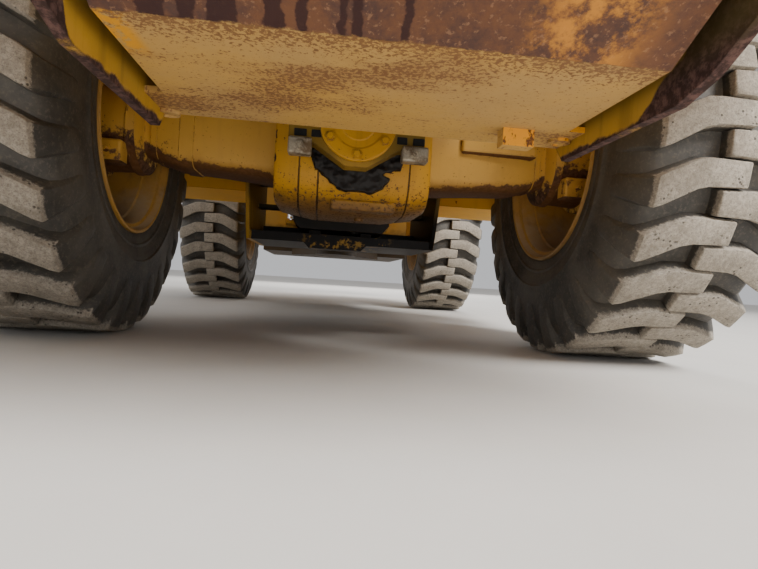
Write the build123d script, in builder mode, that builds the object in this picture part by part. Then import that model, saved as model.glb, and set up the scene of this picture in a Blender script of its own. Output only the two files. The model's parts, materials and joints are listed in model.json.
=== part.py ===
from build123d import *
import math
import os

# Articulated wheel loader with a lever and link over the boom. Millimetres; X right, Y forward, Z up, floor at Z = 0.
os.makedirs("parts", exist_ok=True)

# Stations along the machine
rear_axle_y = -2032.0
wheelbase = 2950.0
pivot_ahead = 1475.0
front_axle_y = rear_axle_y + wheelbase
pivot_y = rear_axle_y + pivot_ahead
track = 1940.0
tyre_radius = 700.0
axle_z = tyre_radius
seat_gap = 0.3
fit_gap = 0.05

# Frames
frame_inner = 428.0
plate_t = 18.0
frame_outer = frame_inner + plate_t
frame_low = 395.0
frame_top = 1100.0
guard_low = 520.0
belly_low = 555.0
belly_t = 12.0
belly_half = 394.0
bend_y = rear_axle_y - 1235.0
bend_ease = 35.0
guard_front_y = rear_axle_y - 790.0
plate_nose_y = rear_axle_y - 820.0
frame_rear_y = rear_axle_y - 1700.0
bend_slope = math.tan(math.radians(30.0))

# Loader linkage: boom hinge, boom line and pins in the boom's own (along, up) frame
boom_hinge_y = rear_axle_y + 2350.0
boom_hinge_z = 1900.0
boom_length = 2420.0
boom_angle = math.radians(-21.32)
lever_along = 1500.0
lever_up = 200.0
lever_arm = 300.0
lever_angle = math.radians(100.0)
lever_rod_arm = 160.0
lever_rod_angle = math.radians(135.0)
lift_along = 930.0
lift_up = -50.0
lift_base_y = rear_axle_y + 2020.0
lift_base_z = 1120.0
arm_x = 430.0
arm_t = 60.0
lift_x = 285.0
steer_z = 640.0
steer_base = (260.0, pivot_y - 600.0)
steer_pin = (300.0, pivot_y + 220.0)
steer_pin_radius = 22.0

# Drive line: the rear shaft ends in a ball on the frame's hinge line, the front one in a yoke round it
shaft_radius = 45.0
joint_ball = 44.0
joint_neck = 30.0
yoke_in = joint_ball + 6.0
yoke_out = yoke_in + 18.0
yoke_reach = 85.0


def boom_point(along, up):
    """World (y, z) of a point given in the boom's own frame."""
    y = boom_hinge_y + along * math.cos(boom_angle) - up * math.sin(boom_angle)
    z = boom_hinge_z + along * math.sin(boom_angle) + up * math.cos(boom_angle)
    return (y, z)


def polar(centre, radius, angle):
    """World (y, z) at a radius and an angle, in the boom's frame, from a centre."""
    turn = angle + boom_angle
    return (centre[0] + radius * math.cos(turn), centre[1] + radius * math.sin(turn))


bucket_pin = boom_point(boom_length, 0)
lever_pin = boom_point(lever_along, lever_up)
lever_top = polar(lever_pin, lever_arm, lever_angle)
lever_rod = polar(lever_pin, lever_rod_arm, lever_rod_angle)
ear_pin = polar(bucket_pin, lever_arm, lever_angle)
lift_pin = boom_point(lift_along, lift_up)
boom_hinge = (boom_hinge_y, boom_hinge_z)
lift_base = (lift_base_y, lift_base_z)


def side_prism(points, x_low, x_high, mode=Mode.ADD):
    """Extrude a side outline of (y, z) corners from one x to another."""
    with BuildSketch(Plane.YZ.offset(x_low)) as outline:
        with BuildLine():
            Polyline(*points, close=True)
        make_face()
    extrude(outline.sketch, amount=x_high - x_low, mode=mode)


def cross_rod(centre, radius, x_low, x_high, mode=Mode.ADD):
    """Round bar along X through a (y, z) centre."""
    with BuildSketch(Plane.YZ.offset(x_low)) as disc:
        with Locations(centre):
            Circle(radius)
    extrude(disc.sketch, amount=x_high - x_low, mode=mode)


def upright_rod(centre, radius, z_low, z_high, mode=Mode.ADD):
    """Round bar along Z through an (x, y) centre."""
    with BuildSketch(Plane.XY.offset(z_low)) as disc:
        with Locations(centre):
            Circle(radius)
    extrude(disc.sketch, amount=z_high - z_low, mode=mode)


def rod_between(start, end, radius, mode=Mode.ADD):
    """Round bar between two points in space."""
    line = Vector(*end) - Vector(*start)
    with BuildSketch(Plane(origin=start, z_dir=line)) as disc:
        Circle(radius)
    extrude(disc.sketch, amount=line.length, mode=mode)


def cross_section(points, y_low, y_high, mode=Mode.ADD):
    """Extrude an outline of (x, z) corners from one y to another."""
    with BuildSketch(Plane.XZ.offset(-y_high)) as outline:
        with BuildLine():
            Polyline(*points, close=True)
        make_face()
    extrude(outline.sketch, amount=y_high - y_low, mode=mode)


def upright_turned(points, centre):
    """Revolve an (r, z) outline about the upright line through an (x, y) centre."""
    with BuildSketch(Plane(origin=(centre[0], centre[1], 0), x_dir=(1, 0, 0), z_dir=(0, -1, 0))) as outline:
        with BuildLine():
            Polyline(*points, close=True)
        make_face()
    revolve(outline.sketch, axis=Axis((centre[0], centre[1], 0), (0, 0, 1)))


def block(x_low, x_high, y_low, y_high, z_low, z_high, mode=Mode.ADD):
    """Box between two corners."""
    middle = ((x_low + x_high) / 2, (y_low + y_high) / 2, (z_low + z_high) / 2)
    with Locations(middle):
        Box(x_high - x_low, y_high - y_low, z_high - z_low, mode=mode)


def turned(points, centre, mode=Mode.ADD):
    """Revolve an (x, r) outline about the line along X through a (y, z) centre."""
    frame = Plane(origin=(0, centre[0], centre[1]), x_dir=(1, 0, 0), z_dir=(0, -1, 0))
    with BuildSketch(frame) as outline:
        with BuildLine():
            Polyline(*points, close=True)
        make_face()
    axis = Axis((0, centre[0], centre[1]), (1, 0, 0))
    revolve(outline.sketch, axis=axis, mode=mode)


def faceted(rings, closed=False):
    """Solid with flat faces between matching rings of corners, capped at its ends or closed on itself."""
    faces = []
    if not closed:
        faces = [Face(Wire.make_polygon(rings[0])), Face(Wire.make_polygon(rings[-1]))]
    for near, far in zip(rings, rings[1:] + rings[:1] if closed else rings[1:]):
        for corner in range(len(near)):
            after = (corner + 1) % len(near)
            faces.append(Face(Wire.make_polygon([near[corner], near[after], far[after], far[corner]])))
    return Solid(Shell(faces))


def along(start, end, distance):
    """Point at a distance from start on the way to end, both (y, z)."""
    span = math.dist(start, end)
    step_y = (end[0] - start[0]) / span
    step_z = (end[1] - start[1]) / span
    return (start[0] + step_y * distance, start[1] + step_z * distance)


def strip(start, end, half_start, half_end):
    """Corners of a tapered bar between two (y, z) points."""
    angle = math.atan2(end[1] - start[1], end[0] - start[0])
    ny = -math.sin(angle)
    nz = math.cos(angle)
    return [
        (start[0] + ny * half_start, start[1] + nz * half_start),
        (start[0] - ny * half_start, start[1] - nz * half_start),
        (end[0] - ny * half_end, end[1] - nz * half_end),
        (end[0] + ny * half_end, end[1] + nz * half_end),
    ]


# Wheels: one tyre and one rim made at the wheel's centre, outer side towards +X
lug_count = 20
lug_width = 80.0
lug_skew = math.radians(12.0)
lug_root = 648.0
carcass_radius = 664.0
tread_half = 214.0
section_half = 245.0
section_radius = 505.0
rim_flange = 353.0
flange_half = 225.0
bead_half = 221.0
lug_inner = -25.0
lug_outer = 205.0
lug_reach = (lug_outer - lug_inner) / 2 * math.tan(lug_skew) + lug_width / 2 / math.cos(lug_skew)
lug_top = math.sqrt(tyre_radius**2 - lug_reach**2)
lug_section = [
    (lug_inner, lug_root),
    (lug_inner, lug_top),
    (lug_outer, lug_top),
    (tread_half + 8, lug_root),
]


def wheel_ring(x, radius, to_flats=False):
    """Corners of the carcass at a given x, by its corner radius or by the radius to its flats."""
    corner_radius = radius / math.cos(math.pi / lug_count) if to_flats else radius
    turns = [2 * math.pi * number / lug_count for number in range(lug_count)]
    return [(x, corner_radius * math.cos(turn), corner_radius * math.sin(turn)) for turn in turns]


with BuildPart() as tyre:
    add(faceted([
        wheel_ring(-section_half, section_radius),
        wheel_ring(-tread_half, carcass_radius),
        wheel_ring(tread_half, carcass_radius),
        wheel_ring(section_half, section_radius),
        wheel_ring(bead_half, rim_flange + seat_gap, to_flats=True),
        wheel_ring(-bead_half, rim_flange + seat_gap, to_flats=True),
    ], closed=True))
    lugs = []
    for side, phase in ((1, 0.0), (-1, 0.5)):
        middle = (lug_outer + lug_inner) / 2
        skewed = Plane(origin=(side * middle, 0, 0),
                       x_dir=(side * math.cos(lug_skew), math.sin(lug_skew), 0),
                       z_dir=(-math.sin(lug_skew), side * math.cos(lug_skew), 0))
        spread = 1 / math.cos(lug_skew)
        with BuildSketch(skewed.offset(-lug_width / 2)) as lug:
            with BuildLine():
                Polyline(*[((x - middle) * spread, radius) for x, radius in lug_section], close=True)
            make_face()
        bar = extrude(lug.sketch, amount=lug_width, mode=Mode.PRIVATE)
        for number in range(lug_count):
            lugs.append(bar.rotate(Axis.X, 360.0 * (number + phase) / lug_count))
    add(lugs)
tyre.part.label = "tyre"

# Rim: a deep ring with flanges flush at its ends, a dished disc and the hub's outer casing
spindle_radius = 62.0
hub_radius = 150.0
disc_low = 60.0
disc_high = 82.0
rim_bore = 306.0
with BuildPart() as rim:
    turned([(-flange_half, rim_flange), (-flange_half, rim_flange - 20), (disc_low + 50, rim_bore),
            (disc_low, rim_bore - 80), (disc_low, spindle_radius + fit_gap),
            (disc_high + 30, spindle_radius + fit_gap), (disc_high + 30, 0), (disc_high + 110, 0),
            (disc_high + 110, hub_radius - 25), (disc_high, rim_bore - 78), (disc_high + 50, rim_bore),
            (flange_half, rim_flange - 20), (flange_half, rim_flange)], (0, 0))
rim.part.label = "rim"

corners = [
    # name, x, y, turn about Z
    ("rear_left", -track / 2, rear_axle_y, 180),
    ("rear_right", track / 2, rear_axle_y, 0),
    ("front_left", -track / 2, front_axle_y, 180),
    ("front_right", track / 2, front_axle_y, 0),
]
for name, x, y, turn in corners:
    place = Location((x, y, axle_z), (0, 0, turn))
    for piece in (tyre.part, rim.part):
        copy = piece.moved(place)
        copy.label = piece.label + "_" + name
        export_step(copy, "parts/" + copy.label + ".step")


# Axle housings: cast sections from the middle outwards, each as x, half depth, low, high, chamfer
spindle_end = disc_high + 25.0
drum_end = disc_low - 5.0
casting = [
    (165.0, 235.0, -245.0, 250.0, 105.0),
    (246.0, 205.0, -226.0, 215.0, 90.0),
    (262.0, 125.0, -140.0, 140.0, 40.0),
    (450.0, 115.0, -125.0, 128.0, 34.0),
    (600.0, 105.0, -122.0, 110.0, 30.0),
    (700.0, 88.0, -92.0, 92.0, 26.0),
    (746.0, 90.0, -95.0, 95.0, 26.0),
]
drum_low = 746.0
drum_radius = 136.0
drum_flange = 165.0
trunnion_radius = 106.0
trunnion_reach = 350.0
pad_half = 75.0
pad_x = 375.0
pad_top = 170.0
nose_reach = 330.0


def cast_ring(x, half_depth, low, high, chamfer, y):
    """Corners of a chamfered rectangular section of an axle casting at one x."""
    return [
        (x, y - half_depth, axle_z + low + chamfer),
        (x, y - half_depth + chamfer, axle_z + low),
        (x, y + half_depth - chamfer, axle_z + low),
        (x, y + half_depth, axle_z + low + chamfer),
        (x, y + half_depth, axle_z + high - chamfer),
        (x, y + half_depth - chamfer, axle_z + high),
        (x, y - half_depth + chamfer, axle_z + high),
        (x, y - half_depth, axle_z + high - chamfer),
    ]


def axle_casting(y):
    """Both arms, brake drums and spindles of an axle at a station."""
    left = [cast_ring(-x, *sizes, y) for x, *sizes in reversed(casting)]
    right = [cast_ring(x, *sizes, y) for x, *sizes in casting]
    add(faceted(left + right))
    for side in (-1, 1):
        drum = [(drum_low - 1, 0.0), (drum_low - 1, drum_radius), (track / 2 + drum_end, drum_flange),
                (track / 2 + drum_end, spindle_radius), (track / 2 + spindle_end, spindle_radius),
                (track / 2 + spindle_end, 0.0)]
        turned([(side * x, radius) for x, radius in drum], (y, axle_z))


with BuildPart() as rear_axle:
    axle_casting(rear_axle_y)
    for end in (-1, 1):
        rod_between((0, rear_axle_y, axle_z), (0, rear_axle_y + end * trunnion_reach, axle_z), trunnion_radius)
rear_axle.part.label = "rear_axle"
export_step(rear_axle.part, "parts/rear_axle.step")

with BuildPart() as front_axle:
    axle_casting(front_axle_y)
    rod_between((0, front_axle_y - nose_reach, axle_z), (0, front_axle_y, axle_z), 110)
    rod_between((0, pivot_y + yoke_reach, axle_z), (0, front_axle_y - nose_reach + 1, axle_z), shaft_radius)
    for side in (-1, 1):
        block(side * pad_x - pad_half, side * pad_x + pad_half, front_axle_y - 105, front_axle_y + 105,
              axle_z, axle_z + pad_top - seat_gap)
        z_low = min(axle_z + side * yoke_in, axle_z + side * yoke_out)
        block(-joint_neck, joint_neck, pivot_y, pivot_y + yoke_reach + 20, z_low, z_low + yoke_out - yoke_in)
        upright_rod((0, pivot_y), joint_neck, z_low, z_low + yoke_out - yoke_in)
    block(-joint_neck, joint_neck, pivot_y + yoke_reach, pivot_y + yoke_reach + 20,
          axle_z - yoke_out, axle_z + yoke_out)
front_axle.part.label = "front_axle"
export_step(front_axle.part, "parts/front_axle.step")

# Rear frame: two arched side plates, cross members, axle hangers and the nose tongues
arch_top = 935.0
nose_half = 130.0
tongue_low = (430.0, 500.0)
tongue_high = (900.0, 960.0)
hinge_pin_radius = 45.0
hanger_y = 318.0
hanger_t = 60.0
hanger_outline = [
    (frame_inner, frame_top - 20),
    (frame_inner, arch_top + 10),
    (205, arch_top - 60),
    (205, axle_z - 62),
    (130, axle_z - 70),
    (34, axle_z - 131),
]
box_rear_y = rear_axle_y + 600.0
box_floor_t = 12.0
box_lip = 42.0
box_pad = (-180.0, 122.0)
box_pad_drop = 26.0
plate_outline = [
    (pivot_y - 260, frame_low),
    (box_rear_y, frame_low),
    (rear_axle_y + 560, frame_low + 60),
    (rear_axle_y + 380, arch_top),
    (rear_axle_y - 430, arch_top),
    (plate_nose_y, guard_low),
    (bend_y + bend_ease, guard_low),
    (bend_y - bend_ease, guard_low + bend_ease * bend_slope),
    (frame_rear_y, guard_low + (bend_y - frame_rear_y) * bend_slope),
    (frame_rear_y, frame_top),
    (pivot_y - 260, frame_top),
]
with BuildPart() as rear_frame:
    for x_low in (-frame_outer, frame_inner):
        side_prism(plate_outline, x_low, x_low + plate_t)
    block(-frame_inner, frame_inner, box_rear_y, pivot_y - 260, frame_low, frame_low + box_floor_t)
    block(-frame_inner, frame_inner, box_rear_y, box_rear_y + box_floor_t, frame_low, frame_low + box_lip)
    cross_section([(box_pad[0], frame_low + 1), (box_pad[0] + box_pad_drop, frame_low - box_pad_drop),
                   (box_pad[1] - box_pad_drop, frame_low - box_pad_drop), (box_pad[1], frame_low + 1)],
                  box_rear_y, box_rear_y + 140)
    block(-frame_inner, frame_inner, pivot_y - 286, pivot_y - 260, 790, frame_top)
    for side in (-1, 1):
        low = min(side * (steer_base[0] - 45), side * frame_inner)
        for z_low in (steer_z - 70, steer_z + 50):
            block(low, low + frame_inner + 45 - steer_base[0], steer_base[1] - 45, steer_base[1] + 45,
                  z_low, z_low + 20)
        upright_rod((side * steer_base[0], steer_base[1]), steer_pin_radius, steer_z - 60, steer_z + 60)
    block(-frame_inner, frame_inner, rear_axle_y - 560, rear_axle_y + 420, frame_top - 20, frame_top)
    block(-frame_inner, frame_inner, frame_rear_y, frame_rear_y + 26, 900, frame_top)
    for end in (-1, 1):
        y_mid = rear_axle_y + end * hanger_y
        with BuildSketch(Plane.XZ.offset(-(y_mid + hanger_t / 2))) as hanger:
            with BuildLine():
                Polyline(*[(side * x, z) for side, half in ((-1, hanger_outline), (1, hanger_outline[::-1]))
                           for x, z in half], close=True)
            make_face()
            with Locations((0, axle_z)):
                Circle(trunnion_radius + seat_gap, mode=Mode.SUBTRACT)
        extrude(hanger.sketch, amount=hanger_t)
    for z_low, z_high in (tongue_low, tongue_high):
        with BuildSketch(Plane.XY.offset(z_low)) as tongue:
            with BuildLine():
                Polyline((-frame_inner, pivot_y - 400), (-frame_inner, pivot_y - 260),
                         (-nose_half, pivot_y - 20), (-nose_half, pivot_y + 10), (nose_half, pivot_y + 10),
                         (nose_half, pivot_y - 20), (frame_inner, pivot_y - 260),
                         (frame_inner, pivot_y - 400), close=True)
            make_face()
            with Locations((0, pivot_y)):
                Circle(nose_half)
                Circle(hinge_pin_radius + fit_gap, mode=Mode.SUBTRACT)
        extrude(tongue.sketch, amount=z_high - z_low)
rear_frame.part.label = "rear_frame"
export_step(rear_frame.part, "parts/rear_frame.step")

# Belly guard between the plates, bent up to the rear
belly_end = frame_rear_y + 40
belly_rise = belly_low + (bend_y - belly_end) * bend_slope
notch_y = guard_front_y - 130
stop_x = (262.0, 327.0)
with BuildPart() as belly_guard:
    side_prism([(guard_front_y, belly_low), (bend_y, belly_low), (belly_end, belly_rise),
                (belly_end, belly_rise + belly_t), (bend_y, belly_low + belly_t),
                (guard_front_y, belly_low + belly_t)], -belly_half, belly_half)
    block(-frame_inner, frame_inner, notch_y, guard_front_y, belly_low, belly_low + belly_t)
    block(stop_x[0], stop_x[1], notch_y + 10, notch_y + 45, guard_low, belly_low)
belly_guard.part.label = "belly_guard"
export_step(belly_guard.part, "parts/belly_guard.step")

# Counterweight behind the rear tyres, slotted over the side plates
weight_half = 1120.0
weight_front_y = rear_axle_y - 960.0
weight_rear_y = rear_axle_y - 1750.0
weight_low = 930.0
weight_top = 1480.0
with BuildPart() as counterweight:
    side_prism([(weight_front_y, weight_low + 120), (weight_front_y - 200, weight_low),
                (weight_rear_y + 90, weight_low), (weight_rear_y, weight_low + 110),
                (weight_rear_y, weight_top - 60), (weight_rear_y + 60, weight_top),
                (weight_front_y, weight_top)], -weight_half, weight_half)
    block(-frame_outer - seat_gap, frame_outer + seat_gap, frame_rear_y - seat_gap, weight_front_y + 1,
          weight_low - 1, frame_top + seat_gap, Mode.SUBTRACT)
    for side in (-1, 1):
        chop = [(side * weight_half, weight_rear_y - 1), (side * weight_half, weight_rear_y + 170),
                (side * (weight_half - 150), weight_rear_y - 1)]
        with BuildSketch(Plane.XY.offset(weight_low - 1)) as corner:
            with BuildLine():
                Polyline(*chop, close=True)
            make_face()
        extrude(corner.sketch, amount=weight_top - weight_low + 2, mode=Mode.SUBTRACT)
counterweight.part.label = "counterweight"
export_step(counterweight.part, "parts/counterweight.step")

# Tow bracket on the counterweight's back: two plates with a bore for a drawbar's pin
tow_bore_radius = 25.0
tow_y = weight_rear_y - 80.0
tow_z = 1180.0
tow_half = 75.0
tow_plate_t = 30.0
with BuildPart() as tow_hitch:
    for z_low in (tow_z - tow_half, tow_z + tow_half - tow_plate_t):
        with BuildSketch(Plane.XY.offset(z_low)) as lug_plate:
            with BuildLine():
                Polyline((-110, weight_rear_y), (-45, tow_y - 50), (45, tow_y - 50), (110, weight_rear_y), close=True)
            make_face()
            with Locations((0, tow_y)):
                Circle(tow_bore_radius, mode=Mode.SUBTRACT)
        extrude(lug_plate.sketch, amount=tow_plate_t)
    block(-110, 110, weight_rear_y - 25, weight_rear_y, tow_z - tow_half, tow_z + tow_half)
tow_hitch.part.label = "tow_hitch"
export_step(tow_hitch.part, "parts/tow_hitch.step")

# Engine hood: a shell over the engine, open at the sides for the doors and at the back for the grille
hood_half = 520.0
hood_low = weight_top + seat_gap
hood_top = 2060.0
hood_rear_y = rear_axle_y - 1640.0
hood_front_y = rear_axle_y + 170.0
hood_wall = 40.0
radiator_y = rear_axle_y - 1000.0
door_front_y = rear_axle_y + 110.0
door_rear_y = radiator_y + 60.0
door_low = weight_top + 12.0
door_high = 1940.0
door_t = 30.0
louvre_count = 4
door_gap = 6.0
hood_outline = [
    (hood_rear_y, hood_low),
    (hood_rear_y, hood_top - 180),
    (hood_rear_y + 140, hood_top - 20),
    (hood_rear_y + 260, hood_top),
    (hood_front_y, hood_top),
    (hood_front_y, frame_top + seat_gap),
    (weight_front_y + 6, frame_top + seat_gap),
    (weight_front_y + 6, hood_low),
]
with BuildPart() as hood:
    side_prism(hood_outline, -hood_half, hood_half)
    block(-hood_half + hood_wall, hood_half - hood_wall, radiator_y, hood_front_y - hood_wall,
          frame_top, hood_top - hood_wall, Mode.SUBTRACT)
    block(-hood_half + 70, hood_half - 70, hood_rear_y - 1, radiator_y - hood_wall,
          hood_low + 60, hood_top - 220, Mode.SUBTRACT)
    for side in (-1, 1):
        x_low = min(side * (hood_half - hood_wall - 1), side * (hood_half + 1))
        block(x_low, x_low + hood_wall + 2, door_rear_y - door_gap, door_front_y + door_gap,
              door_low - door_gap, door_high + door_gap, Mode.SUBTRACT)
hood.part.label = "hood"
export_step(hood.part, "parts/hood.step")

# Exhaust stack with its elbow, and the air cleaner's bowl, both on the hood
stack_place = (210.0, rear_axle_y - 260.0)
stack_radius = 52.0
stack_wall = 4.0
stack_bore = 40.0
stack_top = 2500.0
elbow_radius = 110.0
with BuildPart() as exhaust:
    with BuildLine() as route:
        rise = Line((*stack_place, hood_top + 15), (*stack_place, stack_top))
        TangentArc(rise @ 1, (stack_place[0], stack_place[1] - elbow_radius, stack_top + elbow_radius),
                   tangent=rise % 1)
    with BuildSketch(Plane(origin=route.line @ 0, z_dir=route.line % 0)) as ring:
        Circle(stack_radius)
    sweep(ring.sketch, path=route.line)
    mouth = Plane(origin=route.line @ 1, z_dir=route.line % 1)
    with BuildSketch(mouth.offset(-stack_bore)) as bore:
        Circle(stack_radius - stack_wall)
    extrude(bore.sketch, amount=stack_bore, mode=Mode.SUBTRACT)
    upright_rod(stack_place, stack_radius + 38, hood_top + seat_gap, hood_top + 16)
exhaust.part.label = "exhaust"
export_step(exhaust.part, "parts/exhaust.step")

bowl_place = (-190.0, rear_axle_y - 330.0)
bowl_radius = 120.0
with BuildPart() as air_cleaner:
    upright_turned([(0, hood_top + seat_gap), (90, hood_top + seat_gap), (90, hood_top + 14),
                    (62, hood_top + 14), (62, hood_top + 120), (bowl_radius - 15, hood_top + 135),
                    (bowl_radius, hood_top + 150), (bowl_radius, hood_top + 225), (bowl_radius - 20, hood_top + 262),
                    (30, hood_top + 275), (30, hood_top + 300), (0, hood_top + 300)], bowl_place)
air_cleaner.part.label = "air_cleaner"
export_step(air_cleaner.part, "parts/air_cleaner.step")

# Grille over the radiator opening: frame with level slats
slat_count = 9
grille_low = hood_low + 60.0
grille_high = hood_top - 220.0
with BuildPart() as rear_grille:
    half = hood_half - 70 - seat_gap
    block(-half, half, hood_rear_y + 10, hood_rear_y + 40, grille_low + seat_gap, grille_high - seat_gap)
    block(-half + 30, half - 30, hood_rear_y + 9, hood_rear_y + 41, grille_low + 30, grille_high - 30,
          Mode.SUBTRACT)
    pitch = (grille_high - grille_low - 60) / slat_count
    for number in range(slat_count):
        z = grille_low + 30 + pitch * (number + 0.5)
        block(-half + 29, half - 29, hood_rear_y + 16, hood_rear_y + 34, z - 6, z + 6)
rear_grille.part.label = "rear_grille"
export_step(rear_grille.part, "parts/rear_grille.step")

# Radiator core behind the grille, engine and transmission as plain masses
with BuildPart() as radiator:
    block(-hood_half + 75, hood_half - 75, hood_rear_y + 60, hood_rear_y + 180, grille_low, grille_high)
radiator.part.label = "radiator"
export_step(radiator.part, "parts/radiator.step")

engine_half = 300.0
engine_rear_y = rear_axle_y - 820.0
engine_front_y = rear_axle_y - 20.0
engine_top = 1800.0
fan_half = 210.0
fan_depth = 40.0
with BuildPart() as engine:
    block(-engine_half, engine_half, engine_rear_y, engine_front_y, frame_top + seat_gap, engine_top)
    block(-fan_half, fan_half, engine_rear_y - fan_depth, engine_rear_y, frame_top + 60, engine_top - 100)
engine.part.label = "engine"
export_step(engine.part, "parts/engine.step")

# Transmission between the plates: a narrow case over a wide oil pan on two feet, with both shafts
transmission_half = 172.0
transmission_top = 890.0
transmission_rear_y = rear_axle_y + 700.0
transmission_front_y = rear_axle_y + 1060.0
pan_half = 238.0
pan_foot_half = 206.0
pan_low = 468.0
pan_top = 555.0
foot_x = 130.0
drain_x = 68.0
with BuildPart() as transmission:
    block(-transmission_half, transmission_half, transmission_rear_y + 20, transmission_front_y,
          pan_top - 1, transmission_top)
    cross_section([(-pan_foot_half, pan_low), (pan_foot_half, pan_low), (pan_half, pan_low + 38),
                   (pan_half, pan_top), (-pan_half, pan_top), (-pan_half, pan_low + 38)],
                  transmission_rear_y, transmission_front_y)
    upright_rod((drain_x, transmission_rear_y + 45), 24, pan_low - 10, pan_low + 1)
    for side in (-1, 1):
        block(side * foot_x - 30, side * foot_x + 30, transmission_rear_y + 90, transmission_front_y - 40,
              frame_low + box_floor_t + seat_gap, pan_low + 1)
    rod_between((0, rear_axle_y + trunnion_reach + 20, axle_z), (0, transmission_rear_y + 21, axle_z), 55)
    rod_between((0, transmission_front_y - 1, axle_z), (0, pivot_y - yoke_reach, axle_z), shaft_radius)
    rod_between((0, pivot_y - yoke_reach - 1, axle_z), (0, pivot_y, axle_z), joint_neck)
    with Locations((0, pivot_y, axle_z)):
        Sphere(joint_ball)
transmission.part.label = "transmission"
export_step(transmission.part, "parts/transmission.step")

# Hood side doors, hinged at their top edges
hinge_rod = 12.0
door_hinge_x = hood_half + 16.0
door_hinge_z = door_high + 10.0
for side, name in ((-1, "engine_door_left"), (1, "engine_door_right")):
    with BuildPart() as engine_door:
        inner = side * (hood_half - door_t)
        outer = side * (hood_half + 4)
        block(min(inner, outer), max(inner, outer), door_rear_y, door_front_y, door_low, door_high)
        for number in range(louvre_count):
            z = door_low + 110 + number * 60
            low = min(side * (hood_half - 8), side * (hood_half + 5))
            block(low, low + 13, door_rear_y + 120, door_front_y - 420, z, z + 24, Mode.SUBTRACT)
        for y in (door_rear_y + 120, door_front_y - 220):
            rod_between((side * door_hinge_x, y, door_hinge_z), (side * door_hinge_x, y + 100, door_hinge_z),
                        hinge_rod)
            low = min(side * (hood_half + 2), side * door_hinge_x)
            block(low, low + door_hinge_x - hood_half - 2, y, y + 100, door_high - 40, door_hinge_z)
    engine_door.part.label = name
    export_step(engine_door.part, "parts/" + name + ".step")

# Cab: hollow shell with pillars, door opening on the left, floor and roof
cab_half = 660.0
cab_rear_y = rear_axle_y + 230.0
cab_front_y = pivot_y - 20.0
cab_low = 1360.0
cab_top = 3080.0
cab_wall = 50.0
floor_t = 60.0
roof_t = 130.0
sill = 1560.0
header = cab_top - 100.0
rear_sill = 2150.0
cab_door_rear_y = cab_rear_y + 120.0
cab_door_front_y = cab_rear_y + 900.0
glass_t = 8.0
cab_door_hinge_x = -cab_half - 16.0
cab_door_hinge_y = cab_door_rear_y - 4.0
hinge_levels = (1640.0, 2700.0)
with BuildPart() as cab_shell:
    side_prism([(cab_rear_y, cab_low), (cab_rear_y, cab_top), (cab_front_y - 60, cab_top),
                (cab_front_y, cab_low + 500), (cab_front_y, cab_low)], -cab_half, cab_half)
    side_prism([(cab_rear_y + cab_wall, cab_low + floor_t), (cab_rear_y + cab_wall, cab_top + 1),
                (cab_front_y - 60 - cab_wall, cab_top + 1), (cab_front_y - cab_wall, cab_low + 500),
                (cab_front_y - cab_wall, cab_low + floor_t)],
               -cab_half + cab_wall, cab_half - cab_wall, Mode.SUBTRACT)
    block(-cab_half - 1, -cab_half + cab_wall + 1, cab_door_rear_y, cab_door_front_y,
          cab_low + floor_t + 10, header, Mode.SUBTRACT)
    block(cab_half - cab_wall - 1, cab_half + 1, cab_door_rear_y, cab_door_front_y, sill, header, Mode.SUBTRACT)
    block(-cab_half - 1, cab_half + 1, cab_door_front_y + 70, cab_front_y - 120, sill, header, Mode.SUBTRACT)
    block(-cab_half + 80, cab_half - 80, cab_front_y - 140, cab_front_y + 1, sill + 40, header, Mode.SUBTRACT)
    block(-cab_half + 80, cab_half - 80, cab_rear_y - 1, cab_rear_y + cab_wall + 1, rear_sill, header,
          Mode.SUBTRACT)
    for z in hinge_levels:
        upright_rod((cab_door_hinge_x, cab_door_hinge_y), 12, z - 40, z - 0.5)
        block(cab_door_hinge_x - 5, -cab_half + 5, cab_door_hinge_y - 40, cab_door_hinge_y, z - 40, z - 0.5)
cab_shell.part.label = "cab_shell"
export_step(cab_shell.part, "parts/cab_shell.step")

with BuildPart() as cab_roof:
    block(-cab_half - 40, cab_half + 40, cab_rear_y - 60, cab_front_y + 40, cab_top, cab_top + roof_t)
    chamfer(cab_roof.edges().filter_by(Axis.Z), 110)
    chamfer(cab_roof.faces().sort_by(Axis.Z)[-1].edges(), 50)
cab_roof.part.label = "cab_roof"
export_step(cab_roof.part, "parts/cab_roof.step")

# Lamps: two pairs in the roof's front and rear faces and one pair in the counterweight's back
lamp_places = [
    # x, y of the face, depth and its direction, half width, low, high
    (400.0, cab_front_y + 40, 45.0, 85.0, cab_top + 10, cab_top + 76),
    (400.0, cab_rear_y - 60, -45.0, 85.0, cab_top + 10, cab_top + 76),
    (830.0, weight_rear_y, -38.0, 95.0, 1245.0, 1355.0),
]
with BuildPart() as work_lamps:
    for x, y, depth, half_width, low, high in lamp_places:
        face = y + math.copysign(seat_gap, depth)
        for side in (-1, 1):
            middle = side * x
            block(middle - half_width, middle + half_width, min(face, face + depth), max(face, face + depth), low, high)
            block(middle - half_width + 12, middle + half_width - 12, min(face + depth * 0.75, face + depth * 1.01),
                  max(face + depth * 0.75, face + depth * 1.01), low + 10, high - 10, Mode.SUBTRACT)
work_lamps.part.label = "work_lamps"
export_step(work_lamps.part, "parts/work_lamps.step")

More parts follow.
